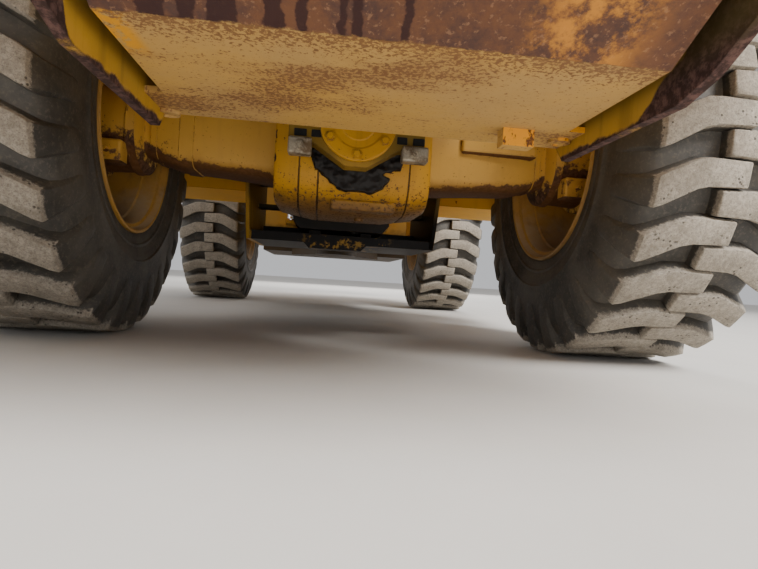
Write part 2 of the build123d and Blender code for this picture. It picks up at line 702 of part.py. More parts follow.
# Mirrors on arms from the cab's front pillars
mirror_arm_z = 2450.0
mirror_x = 960.0
mirror_y = cab_front_y + 10.0
with BuildPart() as mirrors:
    for side in (-1, 1):
        root = side * (cab_half + seat_gap)
        block(min(root, root + side * 12), max(root, root + side * 12), cab_front_y - 112, cab_front_y - 72,
              mirror_arm_z - 50, mirror_arm_z + 50)
        rod_between((root + side * 11, cab_front_y - 92, mirror_arm_z), (side * mirror_x, mirror_y, mirror_arm_z), 13)
        block(side * mirror_x - 95, side * mirror_x + 95, mirror_y - 30, mirror_y + 14,
              mirror_arm_z - 190, mirror_arm_z + 170)
mirrors.part.label = "mirrors"
export_step(mirrors.part, "parts/mirrors.step")

# Cab mounts between frame and floor
with BuildPart() as cab_mounts:
    for y in (cab_rear_y + 60, cab_front_y - 360):
        block(-frame_outer, frame_outer, y, y + 140, frame_top + seat_gap, cab_low - seat_gap)
cab_mounts.part.label = "cab_mounts"
export_step(cab_mounts.part, "parts/cab_mounts.step")

# Cab glass: panes set in the shell's openings
pane_gap = 0.3
with BuildPart() as cab_glass:
    block(-cab_half + 80 + pane_gap, cab_half - 80 - pane_gap, cab_rear_y + 20, cab_rear_y + 20 + glass_t,
          rear_sill + pane_gap, header - pane_gap)
    block(cab_half - 30, cab_half - 30 + glass_t, cab_door_rear_y + pane_gap, cab_door_front_y - pane_gap,
          sill + pane_gap, header - pane_gap)
    for side in (-1, 1):
        x_low = min(side * (cab_half - 30), side * (cab_half - 30 + glass_t))
        block(x_low, x_low + glass_t, cab_door_front_y + 70 + pane_gap, cab_front_y - 120 - pane_gap,
              sill + pane_gap, header - pane_gap)
    lean = 60.0 / (cab_top - cab_low - 500)
    z_low = sill + 40 + pane_gap
    z_high = header - pane_gap
    y_low = cab_front_y - 30
    y_knee = cab_front_y - 30
    y_high = cab_front_y - 30 - lean * (z_high - cab_low - 500)
    side_prism([(y_low, z_low), (y_knee, cab_low + 500), (y_high, z_high), (y_high + glass_t, z_high),
                (y_knee + glass_t, cab_low + 500), (y_low + glass_t, z_low)],
               -cab_half + 80 + pane_gap, cab_half - 80 - pane_gap)
cab_glass.part.label = "cab_glass"
export_step(cab_glass.part, "parts/cab_glass.step")

# Cab door on the left, hinged at its rear edge
cab_door_gap = 6.0
with BuildPart() as cab_door:
    y_low = cab_door_rear_y + cab_door_gap
    y_high = cab_door_front_y - cab_door_gap
    z_low = cab_low + floor_t + 10 + cab_door_gap
    z_high = header - cab_door_gap
    block(-cab_half, -cab_half + 40, y_low, y_high, z_low, z_high)
    block(-cab_half - 1, -cab_half + 41, y_low + 60, y_high - 60, sill + 60, z_high - 60, Mode.SUBTRACT)
    for z in hinge_levels:
        upright_rod((cab_door_hinge_x, cab_door_hinge_y), 12, z, z + 90)
        block(cab_door_hinge_x - 5, -cab_half - 1, cab_door_hinge_y, y_low + 40, z, z + 90)
        block(-cab_half - 2, -cab_half + 5, y_low + 1, y_low + 40, z, z + 90)
    block(-cab_half - 45, -cab_half - 20, y_high - 40, y_high - 20, 1700, 1900)
    for z in (1700.0, 1880.0):
        block(-cab_half - 30, -cab_half + 1, y_high - 40, y_high - 20, z, z + 20)
cab_door.part.label = "cab_door"
export_step(cab_door.part, "parts/cab_door.step")

with BuildPart() as door_glass:
    block(-cab_half + 16, -cab_half + 16 + glass_t, y_low + 60 + pane_gap, y_high - 60 - pane_gap,
          sill + 60 + pane_gap, z_high - 60 - pane_gap)
door_glass.part.label = "door_glass"
export_step(door_glass.part, "parts/door_glass.step")

# Seat, steering column and console inside the cab
seat_y = cab_rear_y + 430.0
cab_floor_z = cab_low + floor_t
with BuildPart() as seat_base:
    block(-190, 190, seat_y - 170, seat_y + 200, cab_floor_z + seat_gap, cab_floor_z + 330)
seat_base.part.label = "seat_base"
export_step(seat_base.part, "parts/seat_base.step")

with BuildPart() as seat:
    block(-250, 250, seat_y - 220, seat_y + 270, cab_floor_z + 330 + seat_gap, cab_floor_z + 450)
    side_prism([(seat_y - 220, cab_floor_z + 420), (seat_y - 100, cab_floor_z + 420),
                (seat_y - 170, cab_floor_z + 1080), (seat_y - 270, cab_floor_z + 1080)], -230, 230)
    fillet(seat.edges().filter_by(Axis.X), 12)
seat.part.label = "seat"
export_step(seat.part, "parts/seat.step")

with BuildPart() as steering_column:
    side_prism([(cab_front_y - 330, cab_floor_z + seat_gap), (cab_front_y - 160, cab_floor_z + seat_gap),
                (cab_front_y - 330, cab_floor_z + 700), (cab_front_y - 420, cab_floor_z + 660)], -70, 70)
    rod_between((0, cab_front_y - 400, cab_floor_z + 640), (0, cab_front_y - 470, cab_floor_z + 790), 22)
    hub_line = Vector(0, -70, 150)
    with BuildSketch(Plane(origin=(0, cab_front_y - 470, cab_floor_z + 775), z_dir=hub_line)):
        Circle(205)
        Circle(182, mode=Mode.SUBTRACT)
        Rectangle(380, 30)
        Rectangle(30, 380)
    extrude(amount=22)
steering_column.part.label = "steering_column"
export_step(steering_column.part, "parts/steering_column.step")

with BuildPart() as console:
    block(290, cab_half - cab_wall - 10, seat_y - 150, seat_y + 420, cab_floor_z + seat_gap, cab_floor_z + 560)
    for number in range(3):
        upright_rod((360 + number * 70, seat_y + 330), 10, cab_floor_z + 550, cab_floor_z + 700)
console.part.label = "console"
export_step(console.part, "parts/console.step")

# Side tanks with steps between the tyres
tank_half = 1080.0
tank_low = 645.0
tank_top = 1260.0
tank_rear_y = rear_axle_y + 800.0
tank_front_y = rear_axle_y + 1270.0
with BuildPart() as side_tanks:
    for side in (-1, 1):
        low = min(side * (frame_outer + seat_gap), side * tank_half)
        high = max(side * (frame_outer + seat_gap), side * tank_half)
        block(low, high, tank_rear_y, tank_front_y, tank_low, tank_top)
side_tanks.part.label = "side_tanks"
export_step(side_tanks.part, "parts/side_tanks.step")

step_depth = 130.0
with BuildPart() as steps:
    for side in (-1, 1):
        for z in (430.0, 760.0, 1010.0):
            low = min(side * (tank_half + seat_gap), side * (tank_half + step_depth))
            high = max(side * (tank_half + seat_gap), side * (tank_half + step_depth))
            block(low, high, tank_rear_y + 60, tank_front_y - 60, z, z + 20)
        for y in (tank_rear_y + 60, tank_front_y - 72):
            low = min(side * (tank_half + seat_gap), side * (tank_half + step_depth))
            high = max(side * (tank_half + seat_gap), side * (tank_half + step_depth))
            block(low, high, y, y + 12, 430, 1030)
steps.part.label = "steps"
export_step(steps.part, "parts/steps.step")

# Handrails: a loop over each tank ahead of the door's swing, and a grab bar on each of the cab's pillars
rail_radius = 16.0
rail_y = tank_front_y - 30.0
rail_x = (tank_half - 300.0, tank_half - 30.0)
rail_top = 1720.0
grab_y = cab_door_front_y + 36.0
grab_x = cab_half + 62.0
grab_low = 1600.0
grab_high = 2400.0
with BuildPart() as handrails:
    for side in (-1, 1):
        for x in rail_x:
            upright_rod((side * x, rail_y), rail_radius, tank_top + seat_gap, rail_top)
        rod_between((side * (rail_x[0] - rail_radius), rail_y, rail_top - rail_radius),
                    (side * (rail_x[1] + rail_radius), rail_y, rail_top - rail_radius), rail_radius)
        upright_rod((side * grab_x, grab_y), rail_radius, grab_low, grab_high)
        for z in (grab_low + 40, grab_high - 40):
            rod_between((side * (cab_half + seat_gap), grab_y, z), (side * grab_x, grab_y, z), rail_radius - 2)
handrails.part.label = "handrails"
export_step(handrails.part, "parts/handrails.step")

# Fenders over the tyres: bent strips with end brackets
fender_low_x = 700.0
fender_high_x = 1210.0
fender_radius = 790.0
fender_t = 10.0
fender_steps = 5


def fender_arc(y, first, last):
    """Closed (y, z) outline of a bent fender strip round an axle."""
    outer = []
    inner = []
    for number in range(fender_steps + 1):
        angle = math.radians(first + (last - first) * number / fender_steps)
        for radius, corners_round in ((fender_radius + fender_t, outer), (fender_radius, inner)):
            corners_round.append((y + radius * math.cos(angle), axle_z + radius * math.sin(angle)))
    return outer + inner[::-1]


with BuildPart() as rear_fenders:
    for side in (-1, 1):
        low = min(side * fender_low_x, side * fender_high_x)
        side_prism(fender_arc(rear_axle_y, 40, 138), low, low + fender_high_x - fender_low_x)
        low = min(side * (hood_half + seat_gap), side * (fender_low_x + 1))
        block(low, low + fender_low_x + 1 - hood_half - seat_gap, hood_front_y - 60, hood_front_y - 20,
              axle_z + fender_radius - 60, axle_z + fender_radius + 5)
rear_fenders.part.label = "rear_fenders"
export_step(rear_fenders.part, "parts/rear_fenders.step")

# Front frame: bulkhead, hinge clevises, side plates and the loader tower's twin plates
bulkhead_y = pivot_y + 315.0
nose_tie_top = 700.0
front_low = 400.0
front_mid = 1060.0
clevis_t = 45.0
clevis_gap = 6.0
tower_in = (arm_x - arm_t / 2 - 34.0, arm_x - arm_t / 2 - 8.0)
tower_out = (arm_x + arm_t / 2 + 8.0, arm_x + arm_t / 2 + 34.0)
front_nose_y = front_axle_y + 340.0
boom_pin_radius = 40.0
lift_pin_radius = 32.0
tower_outline = [
    (bulkhead_y, front_low),
    (front_axle_y - 300, front_low),
    (front_axle_y - 170, axle_z + pad_top),
    (front_axle_y + 170, axle_z + pad_top),
    (front_axle_y + 270, front_low + 60),
    (front_nose_y, front_low + 60),
    (front_nose_y, front_mid - 130),
    (boom_hinge_y + 330, front_mid + 60),
    (boom_hinge_y + 120, boom_hinge_z + 60),
    (boom_hinge_y + 40, boom_hinge_z + 120),
    (boom_hinge_y - 60, boom_hinge_z + 120),
    (boom_hinge_y - 130, boom_hinge_z + 40),
    (lift_base_y - 160, lift_base_z + 120),
    (bulkhead_y, lift_base_z - 60),
]
with BuildPart() as front_frame:
    for side in (-1, 1):
        for near, far in (tower_in, tower_out):
            low = min(side * near, side * far)
            side_prism(tower_outline, low, low + far - near)
    block(-tower_out[1], tower_out[1], bulkhead_y, bulkhead_y + 30, front_low, lift_base_z - 100)
    rod_between((0, bulkhead_y - 1, axle_z), (0, bulkhead_y + 31, axle_z), shaft_radius + 30, Mode.SUBTRACT)
    block(-tower_out[1], tower_out[1], bulkhead_y, front_axle_y - 300, front_low, front_low + 16)
    block(-tower_out[1], tower_out[1], front_nose_y - 30, front_nose_y, front_low + 60, nose_tie_top)
    block(-tower_in[1], tower_in[1], front_nose_y - 30, front_nose_y, front_low + 60, front_mid - 130)
    block(-tower_in[0], tower_in[0], front_axle_y - 160, front_axle_y + 160, axle_z + 270, axle_z + 290)
    for z_low, z_high in (tongue_low, tongue_high):
        for level in (z_low - clevis_gap - clevis_t, z_high + clevis_gap):
            with BuildSketch(Plane.XY.offset(level)) as clevis:
                with BuildLine():
                    Polyline((-300, bulkhead_y + 1), (-nose_half, pivot_y + 40), (-nose_half, pivot_y),
                             (nose_half, pivot_y), (nose_half, pivot_y + 40), (300, bulkhead_y + 1), close=True)
                make_face()
                with Locations((0, pivot_y)):
                    Circle(nose_half)
            extrude(clevis.sketch, amount=clevis_t)
        upright_rod((0, pivot_y), hinge_pin_radius, z_low - clevis_gap - 1, z_high + clevis_gap + 1)
    for side in (-1, 1):
        for level in (steer_z - 60, steer_z + 40):
            block(side * steer_pin[0] - 45, side * steer_pin[0] + 45, steer_pin[1] - 40, bulkhead_y + 1,
                  level, level + 20)
        low = min(side * tower_in[0], side * tower_out[1])
        cross_rod(boom_hinge, boom_pin_radius, low, low + tower_out[1] - tower_in[0])
        near = min(side * (lift_x - 76), side * (tower_in[0] + 1))
        cross_rod(lift_base, lift_pin_radius, near, near + tower_in[0] + 77 - lift_x)
        near = min(side * (lift_x - 76), side * (lift_x - 56))
        side_prism([(bulkhead_y, lift_base_z - 110), (lift_base_y + 60, lift_base_z - 110),
                    (lift_base_y + 60, lift_base_z + 40), (lift_base_y + 20, lift_base_z + 60),
                    (lift_base_y - 30, lift_base_z + 60), (bulkhead_y, lift_base_z - 40)], near, near + 20)
    block(-lift_x + 57, lift_x - 57, bulkhead_y, lift_base_y + 60, lift_base_z - 130, lift_base_z - 110)
    cross_rod((boom_hinge_y - 60, boom_hinge_z - 150), 70, -tower_in[0] - 1, tower_in[0] + 1)
    for side in (-1, 1):
        low = min(side * 62, side * 84)
        side_prism([(boom_hinge_y - 110, boom_hinge_z - 160), (boom_hinge_y - 60, boom_hinge_z + 30),
                    (boom_hinge_y, boom_hinge_z + 62), (boom_hinge_y + 55, boom_hinge_z + 30),
                    (boom_hinge_y + 55, boom_hinge_z - 30), (boom_hinge_y, boom_hinge_z - 170)], low, low + 22)
    cross_rod(boom_hinge, boom_pin_radius, -80, 80)
front_frame.part.label = "front_frame"
export_step(front_frame.part, "parts/front_frame.step")

# Boom: two tapered arms with a cross tube that carries the tilt lever
arm_depth = 130.0
arm_end = 88.0
tube_radius = 90.0
tube_at = boom_point(lever_along - 20, 5)
lever_half = 30.0
lane = 6.0
ear_in = lever_half + lane
ear_out = ear_in + 24.0
link_in = ear_out + lane
link_out = link_in + 18.0
fork_in = link_out + lane
fork_out = fork_in + 20.0
lever_pin_radius = 34.0
link_pin_radius = 28.0
with BuildPart() as boom:
    knee = boom_point(lever_along, 20)
    for side in (-1, 1):
        low = min(side * (arm_x - arm_t / 2), side * (arm_x + arm_t / 2))
        side_prism(strip(boom_hinge, knee, arm_end, arm_depth), low, low + arm_t)
        side_prism(strip(knee, bucket_pin, arm_depth, arm_end), low, low + arm_t)
        for centre, radius in ((knee, arm_depth), (boom_hinge, arm_end), (bucket_pin, arm_end)):
            cross_rod(centre, radius, low, low + arm_t)
        for centre in (boom_hinge, bucket_pin):
            cross_rod(centre, boom_pin_radius + fit_gap, low - 1, low + arm_t + 1, Mode.SUBTRACT)
        near = min(side * (lift_x + 56), side * (arm_x - arm_t / 2 + 1))
        cross_rod(lift_pin, 60, near, near + arm_x - arm_t / 2 + 1 - lift_x - 56)
    cross_rod(tube_at, tube_radius, -arm_x, arm_x)
    for side in (-1, 1):
        low = min(side * ear_in, side * ear_out)
        side_prism(strip(tube_at, lever_pin, tube_radius, 55), low, low + ear_out - ear_in)
        cross_rod(lever_pin, 55, low, low + ear_out - ear_in)
    cross_rod(lever_pin, lever_pin_radius, -ear_out, ear_out)
boom.part.label = "boom"
export_step(boom.part, "parts/boom.step")

# Tilt lever between the boom's ears: pivot at its foot, rod pin half way, link pin at its top
with BuildPart() as tilt_lever:
    side_prism(strip(lever_pin, lever_top, 52, 46), -lever_half, lever_half)
    side_prism(strip(lever_pin, lever_rod, 52, 44), -lever_half, lever_half)
    for centre, radius in ((lever_pin, 52), (lever_top, 46), (lever_rod, 44)):
        cross_rod(centre, radius, -lever_half, lever_half)
    cross_rod(lever_pin, lever_pin_radius + fit_gap, -lever_half - 1, lever_half + 1, Mode.SUBTRACT)
    cross_rod(lever_top, link_pin_radius, -link_out - 2, link_out + 2)
    cross_rod(lever_rod, link_pin_radius, -link_out, link_out)
tilt_lever.part.label = "tilt_lever"
export_step(tilt_lever.part, "parts/tilt_lever.step")

# Link: twin plates from the lever's top pin to the bucket's ear, tied by a spacer
tie = along(lever_top, ear_pin, math.dist(lever_top, ear_pin) / 2)
with BuildPart() as link:
    for side in (-1, 1):
        low = min(side * link_in, side * link_out)
        side_prism(strip(lever_top, ear_pin, 36, 36), low, low + link_out - link_in)
        for centre in (lever_top, ear_pin):
            cross_rod(centre, 48, low, low + link_out - link_in)
            cross_rod(centre, link_pin_radius + fit_gap, low - 1, low + link_out - link_in + 1, Mode.SUBTRACT)
    cross_rod(tie, 20, -link_in - 1, link_in + 1)
link.part.label = "link"
export_step(link.part, "parts/link.step")

# Tilt cylinder on the boom hinge line; its forked rod is opened at the lever's rod pin
tilt_bore = 72.0
tilt_rod_radius = 38.0
tilt_length = math.dist(boom_hinge, lever_rod)
barrel_start = 96.0
barrel_end = 980.0
fork_back = 150.0
with BuildPart() as tilt_barrel:
    start = along(boom_hinge, lever_rod, barrel_start)
    end = along(boom_hinge, lever_rod, barrel_end)
    rod_between((0, start[0], start[1]), (0, end[0], end[1]), tilt_bore)
    side_prism(strip(boom_hinge, start, 50, 50), -56, 56)
    cross_rod(boom_hinge, 72, -56, 56)
    cross_rod(boom_hinge, boom_pin_radius + fit_gap, -57, 57, Mode.SUBTRACT)
    mouth = along(boom_hinge, lever_rod, 300)
    rod_between((0, mouth[0], mouth[1]), (0, end[0], end[1]), tilt_rod_radius + fit_gap, Mode.SUBTRACT)
tilt_barrel.part.label = "tilt_barrel"
export_step(tilt_barrel.part, "parts/tilt_barrel.step")

with BuildPart() as tilt_rod:
    start = along(boom_hinge, lever_rod, barrel_end - 60)
    back = along(boom_hinge, lever_rod, tilt_length - fork_back)
    rod_between((0, start[0], start[1]), (0, back[0], back[1]), tilt_rod_radius)
    side_prism(strip(along(boom_hinge, lever_rod, tilt_length - fork_back - 45), back, 38, 38),
               -fork_out, fork_out)
    for side in (-1, 1):
        low = min(side * fork_in, side * fork_out)
        side_prism(strip(back, lever_rod, 38, 38), low, low + fork_out - fork_in)
        cross_rod(lever_rod, 46, low, low + fork_out - fork_in)
tilt_rod.part.label = "tilt_rod"
export_step(tilt_rod.part, "parts/tilt_rod.step")

# Lift cylinders inside the arms, opened at the rod's eye
lift_length = math.dist(lift_base, lift_pin)
lift_bore = 50.0
lift_rod_radius = 28.0
lift_end = 900.0
for side, name in ((-1, "left"), (1, "right")):
    with BuildPart() as lift_barrel:
        start = along(lift_base, lift_pin, 50)
        end = along(lift_base, lift_pin, lift_end)
        mouth = along(lift_base, lift_pin, 120)
        low = side * lift_x - 36
        rod_between((side * lift_x, start[0], start[1]), (side * lift_x, end[0], end[1]), lift_bore)
        cross_rod(lift_base, 54, low, low + 72)
        cross_rod(lift_base, lift_pin_radius + fit_gap, low - 1, low + 73, Mode.SUBTRACT)
        rod_between((side * lift_x, mouth[0], mouth[1]), (side * lift_x, end[0], end[1]),
                    lift_rod_radius + fit_gap, Mode.SUBTRACT)
    lift_barrel.part.label = "lift_barrel_" + name
    export_step(lift_barrel.part, "parts/lift_barrel_" + name + ".step")
    with BuildPart() as lift_rod:
        start = along(lift_base, lift_pin, lift_end - 60)
        low = side * lift_x - 34
        rod_between((side * lift_x, start[0], start[1]), (side * lift_x, lift_pin[0], lift_pin[1]), lift_rod_radius)
        cross_rod(lift_pin, 50, low, low + 68)
        low = min(side * (lift_x - 44), side * (lift_x + 56 - seat_gap))
        cross_rod(lift_pin, 26, low, low + 100 - seat_gap)
    lift_rod.part.label = "lift_rod_" + name
    export_step(lift_rod.part, "parts/lift_rod_" + name + ".step")

# Steering cylinders between the frames, opened at the rod's eye
steer_bore = 38.0
steer_rod_radius = 20.0
steer_length = math.dist(steer_base, steer_pin)
steer_end = 470.0
for side, name in ((-1, "left"), (1, "right")):
    base = (side * steer_base[0], steer_base[1])
    pin = (side * steer_pin[0], steer_pin[1])
    step = ((pin[0] - base[0]) / steer_length, (pin[1] - base[1]) / steer_length)
    with BuildPart() as steer_barrel:
        rod_between((base[0] + step[0] * 40, base[1] + step[1] * 40, steer_z),
                    (base[0] + step[0] * steer_end, base[1] + step[1] * steer_end, steer_z), steer_bore)
        upright_rod(base, 44, steer_z - 30, steer_z + 30)
        upright_rod(base, steer_pin_radius + fit_gap, steer_z - 31, steer_z + 31, Mode.SUBTRACT)
        rod_between((base[0] + step[0] * 90, base[1] + step[1] * 90, steer_z),
                    (base[0] + step[0] * steer_end, base[1] + step[1] * steer_end, steer_z),
                    steer_rod_radius + fit_gap, Mode.SUBTRACT)
    steer_barrel.part.label = "steer_barrel_" + name
    export_step(steer_barrel.part, "parts/steer_barrel_" + name + ".step")
    with BuildPart() as steer_rod:
        rod_between((base[0] + step[0] * (steer_end - 60), base[1] + step[1] * (steer_end - 60), steer_z),
                    (pin[0] - step[0] * 30, pin[1] - step[1] * 30, steer_z), steer_rod_radius)
        upright_rod(pin, 38, steer_z - 26, steer_z + 26)
        upright_rod(pin, steer_pin_radius, steer_z - 34, steer_z + 34)
    steer_rod.part.label = "steer_rod_" + name
    export_step(steer_rod.part, "parts/steer_rod_" + name + ".step")

# Bucket: bent shell, side plates, hinge ears and the link's ears, laid out from its hinge pin
bucket_half = 1290.0
bucket_t = 16.0
floor_drop = 235.0
lip_reach = 1180.0
back_clear = 190.0
by = bucket_pin[0]
bz = bucket_pin[1]
shell_outer = [
    (by + lip_reach, bz - floor_drop),
    (by + 390, bz - floor_drop),
    (by + 265, bz - floor_drop + 40),
    (by + back_clear, bz - floor_drop + 150),
    (by + back_clear, bz + 120),
    (by + 390, bz + 640),
    (by + 510, bz + 730),
]
with BuildPart() as bucket:
    with BuildSketch(Plane.YZ.offset(-bucket_half)) as wall:
        with BuildLine() as run:
            Polyline(*shell_outer)
            offset(amount=-bucket_t, side=Side.RIGHT)
        make_face()
    extrude(wall.sketch, amount=2 * bucket_half)
    for side in (-1, 1):
        low = min(side * (bucket_half - 20), side * bucket_half)
        side_prism(shell_outer[:-1] + [(by + 510, bz + 730), (by + 620, bz + 600), (by + lip_reach - 130, bz - 60)],
                   low, low + 20)
        for near, far in ((arm_x - arm_t / 2 - 30, arm_x - arm_t / 2 - 8),
                          (arm_x + arm_t / 2 + 8, arm_x + arm_t / 2 + 30)):
            low = min(side * near, side * far)
            side_prism([(by - 40, bz - 72), (by + 60, bz - 150), (by + back_clear + 40, bz - 150),
                        (by + back_clear + 4, bz + 118), (by + 60, bz + 118), (by - 40, bz + 72)],
                       low, low + far - near)
            cross_rod(bucket_pin, 82, low, low + far - near)
        low = min(side * (arm_x - arm_t / 2 - 30), side * (arm_x + arm_t / 2 + 30))
        cross_rod(bucket_pin, boom_pin_radius, low, low + arm_t + 60)
        low = min(side * ear_in, side * ear_out)
        side_prism([(by + back_clear + 4, bz + 60), (by + back_clear + 4, bz + 122),
                    (by + back_clear + 110, bz + 400), (ear_pin[0], ear_pin[1] + 48),
                    (ear_pin[0] - 40, ear_pin[1] - 24)], low, low + ear_out - ear_in)
        cross_rod(ear_pin, 48, low, low + ear_out - ear_in)
    cross_rod(ear_pin, link_pin_radius, -link_out - 2, link_out + 2)
bucket.part.label = "bucket"
export_step(bucket.part, "parts/bucket.step")

# Cutting edge and teeth in one node, under and before the lip
tooth_count = 8
edge_y = by + lip_reach
with BuildPart() as bucket_teeth:
    side_prism([(edge_y - 180, bz - floor_drop - seat_gap), (edge_y + 60, bz - floor_drop - seat_gap),
                (edge_y + 60, bz - floor_drop - 8), (edge_y + 30, bz - floor_drop - 25),
                (edge_y - 180, bz - floor_drop - 25)], -bucket_half, bucket_half)
    for number in range(tooth_count):
        x = -bucket_half + 45 + (2 * bucket_half - 90) * number / (tooth_count - 1)
        side_prism([(edge_y - 60, bz - floor_drop - 25), (edge_y - 60, bz - floor_drop - 50),
                    (edge_y + 60, bz - floor_drop - 50), (edge_y + 150, bz - floor_drop - 28),
                    (edge_y + 150, bz - floor_drop - 20), (edge_y + 61, bz - floor_drop + 14),
                    (edge_y + 60.5, bz - floor_drop - 8), (edge_y + 30, bz - floor_drop - 25)],
                   x - 35, x + 35)
bucket_teeth.part.label = "bucket_teeth"
export_step(bucket_teeth.part, "parts/bucket_teeth.step")

# Front fenders on their brackets, and head lamps on posts over the brackets
bracket_y = front_axle_y - 620.0
bracket_low = axle_z + fender_radius - 285.0
bracket_high = axle_z + fender_radius - 230.0
with BuildPart() as front_fenders:
    for side in (-1, 1):
        low = min(side * fender_low_x, side * fender_high_x)
        side_prism(fender_arc(front_axle_y, 62, 140), low, low + fender_high_x - fender_low_x)
        low = min(side * (tower_out[1] + seat_gap), side * (fender_low_x + 1))
        block(low, low + fender_low_x + 1 - tower_out[1] - seat_gap, bracket_y, bracket_y + 60,
              bracket_low, bracket_high)
front_fenders.part.label = "front_fenders"
export_step(front_fenders.part, "parts/front_fenders.step")

post_x = 620.0
post_half = 20.0
head_lamp_low = 1560.0
head_lamp_high = 1700.0
head_lamp_half = 95.0
with BuildPart() as head_lamps:
    for side in (-1, 1):
        block(side * post_x - post_half, side * post_x + post_half, bracket_y + 10, bracket_y + 50,
              bracket_high + seat_gap, head_lamp_low + 1)
        block(side * post_x - head_lamp_half, side * post_x + head_lamp_half, bracket_y - 10, bracket_y + 80,
              head_lamp_low, head_lamp_high)
        block(side * post_x - head_lamp_half + 14, side * post_x + head_lamp_half - 14, bracket_y + 68,
              bracket_y + 81, head_lamp_low + 14, head_lamp_high - 14, Mode.SUBTRACT)
head_lamps.part.label = "head_lamps"
export_step(head_lamps.part, "parts/head_lamps.step")
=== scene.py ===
import json
import logging
import math
from dataclasses import dataclass
from enum import Enum

import bmesh
import bpy
from mathutils import Matrix, Vector


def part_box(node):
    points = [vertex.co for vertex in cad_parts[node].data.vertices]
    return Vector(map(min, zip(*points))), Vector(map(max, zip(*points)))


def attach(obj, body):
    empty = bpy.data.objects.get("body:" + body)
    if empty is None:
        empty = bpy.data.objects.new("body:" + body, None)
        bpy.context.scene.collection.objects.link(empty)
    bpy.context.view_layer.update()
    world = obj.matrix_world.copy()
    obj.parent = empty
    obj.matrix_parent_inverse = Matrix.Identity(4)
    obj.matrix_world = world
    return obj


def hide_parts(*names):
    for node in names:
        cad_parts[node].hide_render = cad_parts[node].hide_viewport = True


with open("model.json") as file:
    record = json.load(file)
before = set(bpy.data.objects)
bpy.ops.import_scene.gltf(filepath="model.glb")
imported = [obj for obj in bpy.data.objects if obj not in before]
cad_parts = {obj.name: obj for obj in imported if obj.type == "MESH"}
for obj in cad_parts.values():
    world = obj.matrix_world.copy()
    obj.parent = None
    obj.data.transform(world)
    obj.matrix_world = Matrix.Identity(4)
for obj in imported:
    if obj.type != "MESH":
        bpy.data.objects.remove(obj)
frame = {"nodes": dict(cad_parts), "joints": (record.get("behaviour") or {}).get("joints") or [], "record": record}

log = logging.getLogger("wheel_loader")

Point = tuple[float, float, float]
Corner = tuple[float, float]
Colour = tuple[float, float, float, float]
Piece = bpy.types.Object
Material = bpy.types.Material
Node = bpy.types.Node
NodeTree = bpy.types.NodeTree
Socket = bpy.types.NodeSocket
Value = Socket | float

ORIGIN = (0.0, 0.0, 0.0)

# Way from the rear axle back to where the belly guard turns up, its height there, and the slope behind it.
BEND_BEHIND_AXLE = 1.235
BELLY_UNDER = 0.555
SLOPE = math.radians(30.0)


class Turn(Enum):
    """Axes that a round shape can be turned on."""

    ACROSS = (1.0, 0.0, 0.0)
    LENGTH = (0.0, 1.0, 0.0)
    UP = (0.0, 0.0, 1.0)


class Side(Enum):
    """Sides of the machine, by the sign of X."""

    LEFT = -1
    RIGHT = 1

    @property
    def word(self) -> str:
        """The side's name as the nodes spell it."""
        return self.name.lower()


def middle(low: Point, high: Point) -> Vector:
    """Point half way between two corners."""
    return (Vector(low) + Vector(high)) / 2


def axle_middle(end: str) -> Vector:
    """Middle of a left rim, whose Y and Z are those of its axle, rear or front."""
    return middle(*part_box(f"rim_{end}_left"))


def choose(piece: Piece) -> None:
    """Selects one piece alone and makes it active."""
    bpy.ops.object.select_all(action="DESELECT")
    piece.select_set(True)
    bpy.context.view_layer.objects.active = piece


def swept(name: str, rings: list[list[Point]]) -> Piece:
    """Extrudes a face through a row of rings of corners.

    Args:
        name: The piece's name.
        rings: Corner places, as many in each ring, from one end to the other.

    Returns:
        The closed solid.
    """
    bpy.ops.object.select_all(action="DESELECT")
    bpy.ops.mesh.primitive_circle_add(vertices=len(rings[0]), fill_type="NGON")
    piece = bpy.context.object
    piece.name = name
    bpy.ops.object.mode_set(mode="EDIT")
    shape = bmesh.from_edit_mesh(piece.data)
    for vertex, place in zip(list(shape.faces)[0].verts, rings[0]):
        vertex.co = place
    for before, ring in zip(rings, rings[1:]):
        bmesh.update_edit_mesh(piece.data)
        bpy.ops.mesh.extrude_region()
        shape = bmesh.from_edit_mesh(piece.data)
        for vertex in next(face for face in shape.faces if face.select).verts:
            nearest = min(range(len(before)), key=lambda spot: (vertex.co - Vector(before[spot])).length)
            vertex.co = ring[nearest]
    bmesh.update_edit_mesh(piece.data)
    bpy.ops.mesh.select_all(action="SELECT")
    bpy.ops.mesh.normals_make_consistent(inside=False)
    bpy.ops.object.mode_set(mode="OBJECT")
    return piece


